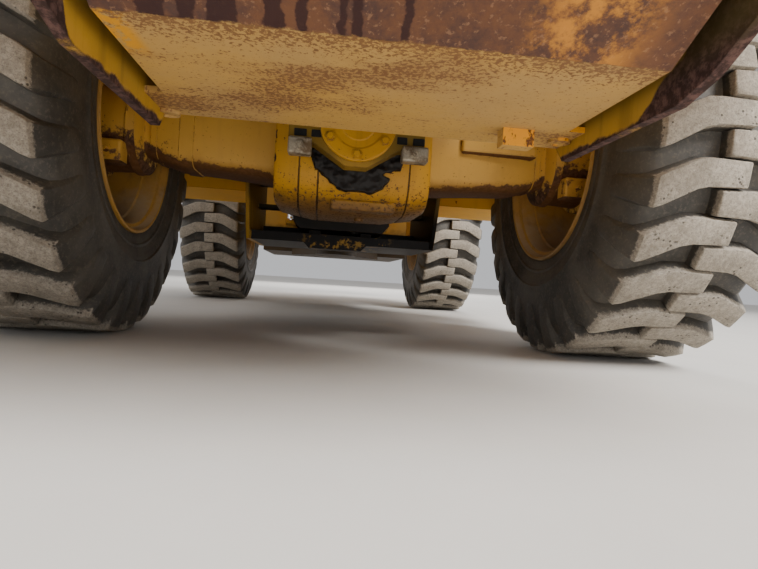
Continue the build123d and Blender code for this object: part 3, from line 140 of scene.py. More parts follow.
def spun(name: str, profile: list[Corner], centre: Point, turn: Turn, steps: int,
         closed: bool = False) -> Piece:
    """Spins a line round an axis, as on a lathe.

    Args:
        name: The piece's name.
        profile: Line as (along the axis, radius) corners.
        centre: Point on the axis where along is zero.
        turn: The axis.
        steps: Facets in a full turn.
        closed: True where the line's last corner joins its first.

    Returns:
        The turned shape.
    """
    along = Vector(turn.value)
    out = Vector((0.0, 0.0, 1.0)) if turn is not Turn.UP else Vector((0.0, 1.0, 0.0))
    places = [Vector(centre) + along * step + out * radius for step, radius in profile]
    bpy.ops.object.select_all(action="DESELECT")
    bpy.ops.mesh.primitive_plane_add(size=0.01, location=centre)
    piece = bpy.context.object
    piece.name = name
    bpy.ops.object.transform_apply()
    bpy.ops.object.mode_set(mode="EDIT")
    bpy.ops.mesh.merge(type="CENTER")
    for number, place in enumerate(places):
        if number:
            bpy.ops.mesh.extrude_region()
        shape = bmesh.from_edit_mesh(piece.data)
        next(vertex for vertex in shape.verts if vertex.select).co = place
        bmesh.update_edit_mesh(piece.data)
    bpy.ops.mesh.select_all(action="SELECT")
    if closed:
        shape = bmesh.from_edit_mesh(piece.data)
        for vertex in shape.verts:
            vertex.select = len(vertex.link_edges) == 1
        shape.select_flush_mode()
        bmesh.update_edit_mesh(piece.data)
        bpy.ops.mesh.edge_face_add()
        bpy.ops.mesh.select_all(action="SELECT")
    bpy.ops.mesh.spin(steps=steps, angle=2 * math.pi, center=centre, axis=turn.value)
    bpy.ops.mesh.select_all(action="SELECT")
    bpy.ops.mesh.remove_doubles(threshold=0.00002)
    bpy.ops.mesh.normals_make_consistent(inside=False)
    bpy.ops.object.mode_set(mode="OBJECT")
    return piece


def rounded(piece: Piece, width: float, segments: int = 2, angle: float = 28.0) -> Piece:
    """Bevels a piece's sharp edges.

    Args:
        piece: The piece.
        width: Width of the bevel.
        segments: Faces across the bevel.
        angle: Degrees past which an edge is sharp.

    Returns:
        The same piece.
    """
    choose(piece)
    bevel = piece.modifiers.new("bevel", "BEVEL")
    bevel.width = width
    bevel.segments = segments
    bevel.limit_method = "ANGLE"
    bevel.angle_limit = math.radians(angle)
    bevel.harden_normals = False
    bpy.ops.object.modifier_apply(modifier=bevel.name)
    return piece


def smooth(piece: Piece, angle: float = 35.0) -> Piece:
    """Shades a piece smooth.

    Args:
        piece: The piece.
        angle: Degrees past which an edge stays sharp.

    Returns:
        The same piece.
    """
    choose(piece)
    bpy.ops.object.shade_smooth_by_angle(angle=math.radians(angle))
    return piece


def block(name: str, one: Point, other: Point, width: float, segments: int = 2) -> Piece:
    """Cube stretched between two opposite corners, with rounded edges.

    Args:
        name: The piece's name.
        one: One corner.
        other: The corner across from it.
        width: Width of the rounding.
        segments: Faces across the rounding.

    Returns:
        The block.
    """
    low, high = zip(*(sorted(pair) for pair in zip(one, other)))
    size = [top - bottom for bottom, top in zip(low, high)]
    bpy.ops.object.select_all(action="DESELECT")
    bpy.ops.mesh.primitive_cube_add(size=1.0, location=middle(low, high), scale=size)
    piece = bpy.context.object
    piece.name = name
    bpy.ops.object.transform_apply()
    return rounded(piece, width, segments)


def lathed(name: str, profile: list[Corner], centre: Point, turn: Turn, steps: int, angle: float = 30.0,
           closed: bool = False) -> Piece:
    """Turned shape, shaded smooth but for edges sharper than an angle in degrees."""
    return smooth(spun(name, profile, centre, turn, steps, closed), angle)


def copied(piece: Piece, matrix: Matrix) -> Piece:
    """Copies a piece with its mesh.

    Args:
        piece: The pattern.
        matrix: Where the copy goes, from the pattern's place.

    Returns:
        The copy.
    """
    other = piece.copy()
    other.data = piece.data.copy()
    other.data.transform(matrix)
    if matrix.determinant() < 0:
        other.data.flip_normals()
    bpy.context.scene.collection.objects.link(other)
    return other


def joined(name: str, pieces: list[Piece]) -> Piece:
    """Joins pieces into the first of them.

    Args:
        name: The whole's name.
        pieces: The pieces.

    Returns:
        The whole.
    """
    choose(pieces[0])
    for piece in pieces:
        piece.select_set(True)
    bpy.ops.object.join()
    pieces[0].name = name
    return pieces[0]


def removed(piece: Piece) -> None:
    """Takes a pattern piece out of the scene."""
    bpy.data.objects.remove(piece)


def seated(piece: Piece, body: str, finish: Material, nodes: tuple[str, ...] = ()) -> Piece:
    """Gives a piece all that the loader needs of it.

    Args:
        piece: The piece.
        body: The body that it moves with.
        finish: Its material.
        nodes: The CAD nodes that it stands for.

    Returns:
        The same piece.
    """
    piece.data.materials.clear()
    piece.data.materials.append(finish)
    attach(piece, body)
    if nodes:
        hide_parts(*nodes)
    log.info("piece %s on %s, %d faces", piece.name, body, len(piece.data.polygons))
    return piece


class Board:
    """Nodes of one tree, added with their inputs in one call."""

    def __init__(self, tree: NodeTree) -> None:
        """Keeps the tree that the nodes go in."""
        self.tree = tree

    def add(self, kind: str, inputs: dict | None = None, **settings) -> Node:
        """Adds a node.

        Args:
            kind: The node's type, without its ShaderNode start.
            inputs: Values or sockets by input name or number.
            **settings: Properties of the node.

        Returns:
            The node.
        """
        node = self.tree.nodes.new("ShaderNode" + kind)
        for name, value in settings.items():
            setattr(node, name, value)
        self.feed(node, inputs or {})
        return node

    def feed(self, node: Node, inputs: dict) -> None:
        """Gives a node its inputs, each a value to set or a socket to link."""
        for name, value in inputs.items():
            if isinstance(value, Socket):
                self.tree.links.new(value, node.inputs[name])
            else:
                node.inputs[name].default_value = value

    def place(self) -> Socket:
        """Place on the piece, in the scene's own units."""
        return self.add("TexCoord").outputs["Object"]

    def axes(self, value: Socket) -> list[Socket]:
        """X, Y and Z of a vector."""
        return self.add("SeparateXYZ", {0: value}).outputs[:3]

    def facing(self) -> list[Socket]:
        """X, Y and Z of the direction that a face looks in."""
        return self.axes(self.add("NewGeometry").outputs["Normal"])

    def math(self, kind: str, first: Value, second: Value = 0.0, clamp: bool = False) -> Socket:
        """Result of a math node on one or two values."""
        return self.add("Math", {0: first, 1: second}, operation=kind, use_clamp=clamp).outputs[0]

    def plus(self, first: Value, second: Value, clamp: bool = False) -> Socket:
        """Sum of two values."""
        return self.math("ADD", first, second, clamp)

    def less(self, first: Value, second: Value) -> Socket:
        """First value less the second."""
        return self.math("SUBTRACT", first, second)

    def times(self, first: Value, second: Value, clamp: bool = False) -> Socket:
        """Product of two values."""
        return self.math("MULTIPLY", first, second, clamp)

    def most(self, first: Value, second: Value) -> Socket:
        """Larger of two values."""
        return self.math("MAXIMUM", first, second)

    def off(self, value: Socket, centre: float = 0.0) -> Socket:
        """Distance of a value from a centre."""
        return self.math("ABSOLUTE", self.less(value, centre) if centre else value)

    def mix(self, part: Value, first: Socket | Colour, second: Socket | Colour) -> Socket:
        """Colour between two colours by a mask."""
        return self.add("Mix", {0: part, 6: first, 7: second}, data_type="RGBA").outputs[2]

    def span(self, value: Socket, low: float, high: float, start: float = 0.0, end: float = 1.0) -> Socket:
        """Value mapped smoothly from one span to another."""
        inputs = {"Value": value, 1: low, 2: high, 3: start, 4: end}
        return self.add("MapRange", inputs, interpolation_type="SMOOTHSTEP").outputs[0]

    def noise(self, place: Socket, scale: Value, detail: float = 4.0, rough: float = 0.55) -> Socket:
        """Value of a noise texture."""
        return self.add("TexNoise", {"Vector": place, "Scale": scale, "Detail": detail,
                                     "Roughness": rough}).outputs["Fac"]

    def stretched(self, place: Socket, factors: Point) -> Socket:
        """Place scaled by axis, so that a pattern on it runs one way."""
        return self.add("Mapping", {"Vector": place, "Scale": factors}).outputs[0]

    def relief(self, shader: Node, height: Socket, strength: float, distance: float,
               **more: Socket) -> None:
        """Bumps a shader's surface by a height."""
        bump = self.add("Bump", {"Height": height, "Strength": strength, "Distance": distance, **more})
        self.feed(shader, {"Normal": bump.outputs[0]})


class Effects:
    """Node groups that several finishes share, each built once."""

    made: dict[str, NodeTree] = {}

    @classmethod
    def group(cls, name: str, inputs: dict[str, float], outputs: tuple[str, ...]) -> tuple[Board, dict, Node]:
        """Starts a group with its sockets.

        Args:
            name: The group's name.
            inputs: Default value by input name.
            outputs: Names of the masks that it puts out.

        Returns:
            The board of its nodes, its input sockets by name, and its output node.
        """
        tree = bpy.data.node_groups.new(name, "ShaderNodeTree")
        for word, value in inputs.items():
            socket = tree.interface.new_socket(word, in_out="INPUT", socket_type="NodeSocketFloat")
            socket.default_value = value
        for word in outputs:
            tree.interface.new_socket(word, in_out="OUTPUT", socket_type="NodeSocketFloat")
        start = tree.nodes.new("NodeGroupInput")
        end = tree.nodes.new("NodeGroupOutput")
        cls.made[name] = tree
        return Board(tree), {word: start.outputs[word] for word in inputs}, end

    @classmethod
    def edge_wear(cls) -> NodeTree:
        """Mask of sharp edges, broken up by noise."""
        if "edge wear" in cls.made:
            return cls.made["edge wear"]
        board, given, end = cls.group("edge wear", {"Amount": 0.5, "Grain": 30.0}, ("Mask",))
        place = board.place()
        soft = board.add("Bevel", {"Radius": 0.006}, samples=3).outputs[0]
        sharp = board.add("NewGeometry").outputs["Normal"]
        dot = board.add("VectorMath", {0: soft, 1: sharp}, operation="DOT_PRODUCT").outputs["Value"]
        edge = board.span(dot, 0.995, 0.80)
        broken = board.noise(place, given["Grain"], 6.0, 0.7)
        reach = board.plus(broken, board.times(edge, 0.42))
        limit = board.less(1.06, board.times(given["Amount"], 0.40))
        mask = board.span(board.less(reach, limit), -0.02, 0.05)
        board.feed(end, {"Mask": mask})
        return board.tree

    @classmethod
    def weathering(cls) -> NodeTree:
        """Masks of broad fading, small chips, downward streaks and settled dust."""
        if "weathering" in cls.made:
            return cls.made["weathering"]
        words = ("Fade", "Chips", "Streaks", "Dust", "Grain")
        board, given, end = cls.group("weathering", {"Chipping": 0.5, "Dusting": 0.5, "Specks": 38.0}, words)
        place = board.place()
        fade = board.span(board.noise(place, 1.7, 5.0, 0.6), 0.36, 0.66)
        specks = board.noise(place, given["Specks"], 5.0, 0.62)
        patches = board.noise(place, 5.5, 4.0, 0.6)
        chip_level = board.plus(board.times(specks, 0.62), board.times(patches, 0.38))
        chip_limit = board.less(0.745, board.times(given["Chipping"], 0.17))
        chips = board.span(board.less(chip_level, chip_limit), 0.0, 0.022)
        runs = board.noise(board.stretched(place, (26.0, 26.0, 1.3)), 1.0, 4.0, 0.6)
        streaks = board.span(runs, 0.50, 0.72)
        up = board.facing()[2]
        cloud = board.noise(place, 7.0, 6.0, 0.65)
        level = board.plus(board.times(board.span(up, 0.1, 0.95), 0.55), cloud)
        dust = board.span(level, 0.62, 1.05)
        dust = board.times(dust, given["Dusting"], clamp=True)
        grain = board.noise(place, 210.0, 3.0, 0.6)
        board.feed(end, dict(zip(words, (fade, chips, streaks, dust, grain))))
        return board.tree

    @classmethod
    def scratches(cls) -> NodeTree:
        """Mask of short fine scratches in three directions."""
        if "scratches" in cls.made:
            return cls.made["scratches"]
        board, given, end = cls.group("scratches", {"Amount": 0.5}, ("Mask",))
        place = board.place()
        best = None
        for turn in (0.35, 1.25, 2.3):
            turned = board.add("Mapping", {"Vector": place, "Rotation": (0.0, 0.0, turn),
                                           "Scale": (9.0, 160.0, 160.0)}).outputs[0]
            line = board.noise(turned, 1.0, 3.0, 0.55)
            best = line if best is None else board.most(best, line)
        limit = board.less(0.86, board.times(given["Amount"], 0.24))
        mask = board.span(board.less(best, limit), 0.0, 0.05)
        board.feed(end, {"Mask": mask})
        return board.tree


def shaded(colour: Colour, factor: float) -> Colour:
    """Colour made lighter or darker by a factor, up to full white."""
    return tuple(min(1.0, part * factor) for part in colour[:3]) + (1.0,)


def new_material(name: str) -> tuple[Material, Board, Node]:
    """Empty node material.

    Args:
        name: The material's name.

    Returns:
        The material, its board and its Principled node, linked to the output.
    """
    material = bpy.data.materials.new(name)
    material.use_nodes = True
    material.node_tree.nodes.clear()
    board = Board(material.node_tree)
    shader = board.add("BsdfPrincipled")
    board.add("OutputMaterial", {"Surface": shader.outputs[0]})
    return material, board, shader


@dataclass(frozen=True)
class Finish:
    """Surface of some of the loader's pieces.

    Attributes:
        name: The material's name.
    """

    name: str

    def made(self) -> Material:
        """Builds the material."""
        material, board, shader = new_material(self.name)
        self.lay(board, shader, board.place())
        return material

    def lay(self, board: Board, shader: Node, place: Socket) -> None:
        """Builds the surface that a shader shows.

        Args:
            board: The material's board.
            shader: Its shader.
            place: Place on the piece.
        """
        raise NotImplementedError


@dataclass(frozen=True)
class Paint(Finish):
    """Old machine paint over steel, faded, chipped and dusty.

    Attributes:
        colour: Fresh colour.
        faded: Colour where it has weathered.
        rust: Colour of bare rusty steel.
        chipping: How much has chipped, 0 to 1.
        dusting: How much dust lies on it, 0 to 1.
        edges: How much its edges are worn, 0 to 1.
        gloss: Roughness of sound paint.
        streaking: How strong the runs of dirt are.
        dust_colour: Colour of the dust.
        specks: How fine its chips are.
        under: How much rust gathers on undersides, 0 to 1.
        ends: How much more of it there is near the wheels, 0 to 1.
        seams: X of seams that have chipped in a line.
        specular: Strength of its reflections.
        grime: How black its low parts near the middle are, from oily dirt and painted shade, 0 to 1.
        grime_top: Height where that blackening ends.
    """

    colour: Colour
    faded: Colour
    rust: Colour = (0.055, 0.026, 0.014, 1.0)
    chipping: float = 0.45
    dusting: float = 0.5
    edges: float = 0.55
    gloss: float = 0.42
    streaking: float = 0.35
    dust_colour: Colour = (0.46, 0.38, 0.27, 1.0)
    specks: float = 38.0
    under: float = 0.0
    ends: float = 0.0
    seams: tuple[float, ...] = ()
    specular: float = 0.5
    # Blackening of low parts near the middle, from oily dirt and painted shade, and the height where it ends.
    grime: float = 0.0
    grime_top: float = 0.0

    def lay(self, board: Board, shader: Node, place: Socket) -> None:
        """Mixes colour, roughness and relief."""
        weather = board.add("Group", {"Chipping": self.chipping, "Dusting": self.dusting,
                                      "Specks": self.specks}, node_tree=Effects.weathering())
        wear = board.add("Group", {"Amount": self.edges}, node_tree=Effects.edge_wear())
        colour = board.mix(weather.outputs["Fade"], self.colour, self.faded)
        dirt = shaded(self.faded, 0.42)
        streak = board.times(weather.outputs["Streaks"], self.streaking)
        colour = board.mix(streak, colour, dirt)
        bare = board.most(weather.outputs["Chips"], wear.outputs["Mask"])
        if self.under:
            bare = board.most(bare, self.underside(board, place))
        for x in self.seams:
            bare = board.most(bare, self.seam(board, place, x))
        rust_light = shaded(self.rust, 3.4)
        rust = board.mix(board.span(board.noise(place, 60.0, 5.0, 0.7), 0.42, 0.66), self.rust, rust_light)
        colour = board.mix(bare, colour, rust)
        colour = board.mix(weather.outputs["Dust"], colour, self.dust_colour)
        # Low parts near the middle turn black: oily dirt, and painted shade under the machine.
        if self.grime:
            colour = board.mix(self.oil(board, place), colour, (0.014, 0.010, 0.007, 1))
        self.link(board, shader, colour, bare, weather)

    def underside(self, board: Board, place: Socket) -> Socket:
        """Finds the rust on faces that look down, ragged at its edge and wider near the wheels.

        Args:
            board: The material's board.
            place: Place on the piece.

        Returns:
            The mask.
        """
        down = board.facing()[2]
        across = board.axes(place)[0]
        outward = board.span(board.off(across), 0.40, 0.80)
        ragged = board.noise(place, 30.0, 7.0, 0.72)
        broad = board.noise(place, 5.0, 3.0, 0.5)
        level = board.plus(board.times(ragged, 0.55), board.times(broad, 0.35))
        level = board.plus(level, board.times(outward, 0.22 * self.ends))
        level = board.less(level, board.times(down, 0.42))
        return board.span(level, 0.86 - 0.22 * self.under, 0.92 - 0.22 * self.under)

    def oil(self, board: Board, place: Socket) -> Socket:
        """Finds the low parts near the machine's middle that oily dirt and painted shade turn black.

        Args:
            board: The material's board.
            place: Place on the piece.

        Returns:
            The mask.
        """
        across, _, height = board.axes(place)
        ragged = board.times(board.less(board.noise(place, 14.0, 6.0, 0.7), 0.5), 0.16)
        level = board.span(board.plus(height, ragged), self.grime_top + 0.05, self.grime_top - 0.05)
        near = board.span(board.off(across), 0.66, 0.50)
        return board.times(board.times(level, near), self.grime)

    def seam(self, board: Board, place: Socket, x: float) -> Socket:
        """Finds a ragged line of chips across the machine.

        Args:
            board: The material's board.
            place: Place on the piece.
            x: Where the line runs.

        Returns:
            The mask.
        """
        across = board.axes(place)[0]
        off = board.off(across, x)
        near = board.span(off, 0.011, 0.002)
        ragged = board.noise(place, 34.0, 5.0, 0.7)
        return board.span(board.plus(board.times(near, 0.24), ragged), 0.76, 0.80)

    def link(self, board: Board, shader: Node, colour: Socket, bare: Socket, weather: Node) -> None:
        """Links colour, roughness and relief to the shader.

        Args:
            board: The material's board.
            shader: Its shader.
            colour: The finished colour.
            bare: Mask of bare steel.
            weather: The weathering group's node.
        """
        dull = board.most(bare, weather.outputs["Dust"])
        rough = board.plus(board.times(dull, 0.38), self.gloss)
        rough = board.plus(rough, board.times(weather.outputs["Grain"], 0.12), clamp=True)
        board.feed(shader, {"Base Color": colour, "Specular IOR Level": self.specular, "Roughness": rough})
        height = board.less(board.times(weather.outputs["Grain"], 0.25), bare)
        soft = board.add("Bevel", {"Radius": 0.003}, samples=3).outputs[0]
        board.relief(shader, height, 0.35, 0.0015, Normal=soft)


@dataclass(frozen=True)
class AxlePaint(Paint):
    """Paint of an axle housing: rusty under the arms, speckled low on the middle, with painted shade towards its
    bottom and on faces that look down.

    Attributes:
        height: Of the axle's line over the ground.
        neck: Where the middle ends and the arms begin, from the axle's middle.
        lines: X of the casting's fine seams, dark with dirt.
    """

    height: float = 0.7
    neck: float = 0.260
    lines: tuple[float, ...] = (-0.175, -0.113, 0.183)

    def underside(self, board: Board, place: Socket) -> Socket:
        """Mask of the rust under the arms and of the fine chips low on the middle."""
        across, _, height = board.axes(place)
        arm = board.span(board.off(across), self.neck - 0.004, self.neck + 0.006)
        rust = board.times(super().underside(board, place), arm)
        low = board.span(height, self.height - 0.04, self.height - 0.25)
        chips = board.plus(board.noise(place, 95.0, 4.0, 0.7), board.times(low, 0.11))
        return board.most(rust, board.span(chips, 0.655, 0.69))

    def link(self, board: Board, shader: Node, colour: Socket, bare: Socket, weather: Node) -> None:
        """Paints shade on the housing's middle towards its bottom and on the arms' faces that look down, pales the
        arms' sound paint and darkens the seams, then links it.
        """
        place = board.place()
        across, _, height = board.axes(place)
        down = board.facing()[2]
        out = board.off(across)
        core = board.span(out, self.neck + 0.004, self.neck - 0.002)
        cloud = board.less(board.noise(place, 9.0, 6.0, 0.65), 0.5)
        # Painted shade: the middle darkens towards its bottom, broken up by noise.
        depth = board.span(height, self.height - 0.13, self.height - 0.26)
        stain = board.times(board.span(board.plus(depth, cloud), 0.25, 1.0), core)
        colour = board.mix(board.times(stain, 0.80), colour, (0.095, 0.045, 0.018, 1))
        # Painted shade on the arms' faces that look down.
        shade = board.span(board.less(board.times(cloud, 1.2), down), 0.10, 0.85)
        shade = board.times(shade, board.less(0.55, board.times(core, 0.55)))
        sound = board.less(1.0, board.most(core, bare))
        bleach = board.times(sound, 0.26)
        colour = board.mix(bleach, colour, (0.68, 0.47, 0.17, 1))
        colour = board.mix(shade, colour, (0.17, 0.065, 0.010, 1))
        for x in self.lines:
            off = board.off(across, x)
            line = board.times(board.span(off, 0.0036, 0.0014), core)
            colour = board.mix(board.times(line, 0.85), colour, (0.040, 0.022, 0.010, 1))
        super().link(board, shader, colour, bare, weather)


@dataclass(frozen=True)
class PlatePaint(Paint):
    """Paint of the rear frame: bare along its lower edges, black in the box from grease and painted shade.

    Attributes:
        bend: Y where the plates' lower edge turns up.
        low: Height of the edge before the bend.
    """

    bend: float = 0.0
    low: float = 0.52

    def underside(self, board: Board, place: Socket) -> Socket:
        """Mask of the bare band along the plates' lower edge, wide past the bend."""
        across, length, height = board.axes(place)
        past = board.most(board.less(self.bend, length), 0.0)
        over = board.less(board.less(height, self.low), board.times(past, 0.577))
        ragged = board.less(board.noise(place, 26.0, 7.0, 0.72), 0.5)
        broad = board.less(board.noise(place, 6.0, 3.0, 0.5), 0.5)
        wide = board.span(length, self.bend + 0.03, self.bend - 0.03)
        swing = board.plus(0.028, board.times(wide, 0.045))
        shift = board.plus(board.times(ragged, swing), board.times(broad, 0.04))
        blot = board.times(board.span(across, 0.2, 0.3), board.times(board.span(length, self.bend + 0.15,
                                                                                self.bend + 0.02),
                                                                     board.span(length, self.bend - 0.22,
                                                                                self.bend - 0.10)))
        left = board.span(across, 0.1, -0.1)
        reach = board.plus(0.050, board.times(left, 0.062))
        limit = board.plus(0.008, board.times(wide, reach))
        limit = board.plus(limit, board.times(blot, 0.065))
        edge = board.less(limit, board.plus(over, shift))
        behind = board.span(length, self.bend + 0.62, self.bend + 0.55)
        return board.times(board.span(edge, -0.004, 0.004), behind)

    def link(self, board: Board, shader: Node, colour: Socket, bare: Socket, weather: Node) -> None:
        """Lays the box's black, which is grease and painted shade, and the painted shade above the plates' edge
        over the paint, then links it.
        """
        place = board.place()
        across, length, height = board.axes(place)
        broken = board.span(board.noise(place, 19.0, 7.0, 0.7), 0.60, 0.54)
        far = board.span(board.off(across, 0.02), 0.12, 0.24)
        broken = board.most(broken, far)
        # Black low in the box between the plates: grease and painted shade, broken by flecks of paint.
        inside = board.times(board.span(length, self.bend + 1.70, self.bend + 1.78),
                             board.span(height, 0.80, 0.70))
        inside = board.times(inside, board.times(board.span(across, -0.425, -0.421),
                                                 board.span(across, 0.4459, 0.4447)))
        colour = board.mix(board.times(inside, broken), colour, (0.006, 0.004, 0.003, 1.0))
        inner = board.span(board.off(across), 0.4455, 0.4285)
        shade = board.times(inner, board.span(height, 0.545, 0.61))
        colour = board.mix(board.times(shade, 0.70), colour, (0.085, 0.060, 0.016, 1.0))
        super().link(board, shader, colour, bare, weather)


@dataclass(frozen=True)
class BellyPaint(Finish):
    """Scratched ochre underside that turns to rusty steel on its rear slope.

    Attributes:
        bend: Y where the slope begins.
        drips: Dark runs over the bend, as X and half width.
    """

    bend: float
    drips: tuple[Corner, ...] = (
        (-0.318, 0.017), (-0.276, 0.010), (-0.229, 0.020), (-0.165, 0.013), (-0.127, 0.007), (-0.074, 0.0055),
        (-0.056, 0.0065), (0.008, 0.006))

    def flat(self, board: Board, place: Socket, length: Socket) -> Socket:
        """Mixes the level part's ochre, worn through in fine brown specks.

        Args:
            board: The material's board.
            place: Place on the piece.
            length: Its Y.

        Returns:
            The colour.
        """
        tan = board.mix(board.span(board.noise(place, 3.0, 5.0, 0.6), 0.35, 0.68),
                        (0.50, 0.29, 0.070, 1), (0.43, 0.265, 0.090, 1))
        patch = board.span(board.noise(board.stretched(place, (2.2, 5.0, 5.0)), 1.0, 4.0, 0.62), 0.47, 0.64)
        near = board.span(length, self.bend + 0.11, self.bend)
        density = board.most(patch, near)
        specks = board.noise(place, 130.0, 4.0, 0.7)
        worn = board.span(board.plus(specks, board.times(density, 0.15)), 0.592, 0.652)
        lines = board.add("Group", {"Amount": 0.55}, node_tree=Effects.scratches())
        colour = board.mix(board.times(patch, 0.45), tan, (0.26, 0.135, 0.050, 1))
        colour = board.mix(board.times(worn, 0.85), colour, (0.170, 0.075, 0.032, 1))
        colour = board.mix(board.times(lines.outputs["Mask"], 0.55), colour, (0.14, 0.075, 0.035, 1))
        across = board.axes(place)[0]
        corner = board.times(board.span(across, -0.350, -0.372),
                             board.span(length, self.bend + 0.15, self.bend + 0.10))
        fresh = board.times(corner, board.span(board.noise(place, 30.0, 6.0, 0.7), 0.42, 0.50))
        return board.mix(fresh, colour, (0.62, 0.28, 0.012, 1))

    def slope(self, board: Board, place: Socket, across: Socket) -> tuple[Socket, Socket]:
        """Mixes the slope's rust with its orange stain and dark drips.

        Args:
            board: The material's board.
            place: Place on the piece.
            across: Its X.

        Returns:
            The colour, and the mask of the drips.
        """
        rust = board.mix(board.span(board.noise(place, 11.0, 9.0, 0.75), 0.38, 0.62),
                         (0.066, 0.034, 0.027, 1), (0.135, 0.058, 0.028, 1))
        fleck = board.span(board.noise(place, 110.0, 5.0, 0.65), 0.56, 0.66)
        rust = board.mix(board.times(fleck, 0.7), rust, (0.24, 0.125, 0.068, 1))
        flame = board.times(board.span(across, 0.14, 0.22), board.span(across, 0.36, 0.28))
        flame = board.times(flame, board.span(board.noise(place, 16.0, 6.0, 0.7), 0.45, 0.60))
        rust = board.mix(board.times(flame, 0.8), rust, (0.56, 0.23, 0.030, 1))
        wander = board.less(board.noise(place, 26.0, 4.0, 0.6), 0.5)
        shifted = board.plus(across, board.times(wander, 0.030))
        drip = None
        for x, half in self.drips:
            off = board.off(shifted, x)
            one = board.span(off, half + 0.002, half - 0.002)
            drip = one if drip is None else board.most(drip, one)
        return board.mix(board.times(drip, 0.94), rust, (0.030, 0.010, 0.009, 1)), drip

    def lay(self, board: Board, shader: Node, place: Socket) -> None:
        """Mixes colour, roughness and relief."""
        across, length, _ = board.axes(place)
        wobble = board.times(board.less(board.noise(place, 22.0, 6.0, 0.7), 0.5), 0.022)
        past = board.span(board.plus(length, wobble), self.bend + 0.004, self.bend - 0.002)
        rust, drip = self.slope(board, place, across)
        colour = board.mix(past, self.flat(board, place, length), rust)
        out = board.facing()[1]
        back = board.times(board.span(out, -0.80, -0.95), board.span(across, 0.20, 0.24))
        orange = board.mix(board.span(board.noise(board.stretched(place, (60.0, 60.0, 22.0)), 1.0, 4.0, 0.7),
                                      0.56, 0.62), (0.72, 0.31, 0.018, 1), (0.13, 0.05, 0.018, 1))
        colour = board.mix(back, colour, orange)
        rough = board.plus(0.50, board.times(board.noise(place, 30.0, 4.0, 0.6), 0.28))
        rough = board.less(rough, board.times(board.times(drip, past), 0.30))
        board.feed(shader, {"Base Color": colour, "Specular IOR Level": 0.22, "Roughness": rough})
        board.relief(shader, board.plus(board.noise(place, 60.0, 6.0, 0.7), board.times(past, 0.3)), 0.4,
                     0.002)


@dataclass(frozen=True)
class TyreRubber(Finish):
    """Dusty black rubber whose worn lug faces are stone grey and pitted.

    Attributes:
        tread: Name of the attribute that is 1 on the lugs' faces and 0 in the grooves.
    """

    tread: str = "tread"

    def lay(self, board: Board, shader: Node, place: Socket) -> None:
        """Mixes colour, roughness and relief."""
        top = board.add("Attribute", attribute_name=self.tread).outputs["Fac"]
        cloud = board.noise(place, 5.0, 7.0, 0.65)
        fine = board.noise(place, 95.0, 5.0, 0.7)
        grey = board.mix(board.span(cloud, 0.34, 0.66), (0.031, 0.028, 0.024, 1), (0.080, 0.070, 0.056, 1))
        grey = board.mix(board.times(board.span(fine, 0.5, 0.66), 0.4), grey, (0.15, 0.125, 0.090, 1))
        worn = board.mix(board.span(fine, 0.34, 0.66), (0.240, 0.206, 0.160, 1), (0.350, 0.308, 0.248, 1))
        scuff = board.span(board.noise(place, 15.0, 7.0, 0.72), 0.46, 0.62)
        worn = board.mix(board.times(scuff, 0.45), worn, (0.150, 0.126, 0.094, 1))
        grit = board.span(board.noise(place, 230.0, 3.0, 0.75), 0.50, 0.62)
        worn = board.mix(board.times(grit, 0.50), worn, (0.120, 0.100, 0.076, 1))
        pits = board.add("TexVoronoi", {"Vector": place, "Scale": 80.0,
                                        "Randomness": 1.0}).outputs["Distance"]
        chosen = board.span(board.noise(place, 20.0, 3.0, 0.5), 0.55, 0.62)
        pit = board.times(board.span(pits, 0.34, 0.20), chosen)
        worn = board.mix(pit, worn, (0.085, 0.072, 0.056, 1))
        edge = board.plus(top, board.times(board.less(fine, 0.5), 0.5))
        face = board.span(edge, 0.62, 0.82)
        colour = board.mix(face, grey, worn)
        rough = board.less(board.plus(0.66, board.times(face, 0.24)), board.times(cloud, 0.12))
        board.feed(shader, {"Base Color": colour, "Roughness": rough})
        fine = board.less(fine, board.times(board.times(grit, face), 0.5))
        height = board.less(board.times(fine, 0.6), board.times(board.times(pit, face), 1.4))
        board.relief(shader, height, 0.55, 0.003)


@dataclass(frozen=True)
class Metal(Finish):
    """Bare or plated metal with fine wear.

    Attributes:
        colour: Colour of the clean metal.
        stain: Colour of its stains.
        rough: Roughness where clean.
        staining: How much is stained, 0 to 1.
        metallic: Metallic share of the clean metal.
    """

    colour: Colour
    stain: Colour
    rough: float
    staining: float = 0.3
    metallic: float = 1.0

    def lay(self, board: Board, shader: Node, place: Socket) -> None:
        """Mixes colour, roughness and relief."""
        cloud = board.noise(place, 12.0, 7.0, 0.68)
        mask = board.span(cloud, 0.66 - 0.3 * self.staining, 0.78 - 0.3 * self.staining)
        brushed = board.noise(board.stretched(place, (180.0, 14.0, 180.0)), 1.0, 3.0, 0.6)
        light = shaded(self.colour, 1.25)
        clean = board.mix(board.span(brushed, 0.35, 0.65), self.colour, light)
        rough = board.plus(board.plus(board.times(mask, 0.45), self.rough), board.times(brushed, 0.08))
        board.feed(shader, {"Base Color": board.mix(mask, clean, self.stain), "Roughness": rough,
                            "Metallic": board.times(board.less(1.0, mask), self.metallic)})
        board.relief(shader, board.plus(cloud, brushed), 0.2, 0.001)


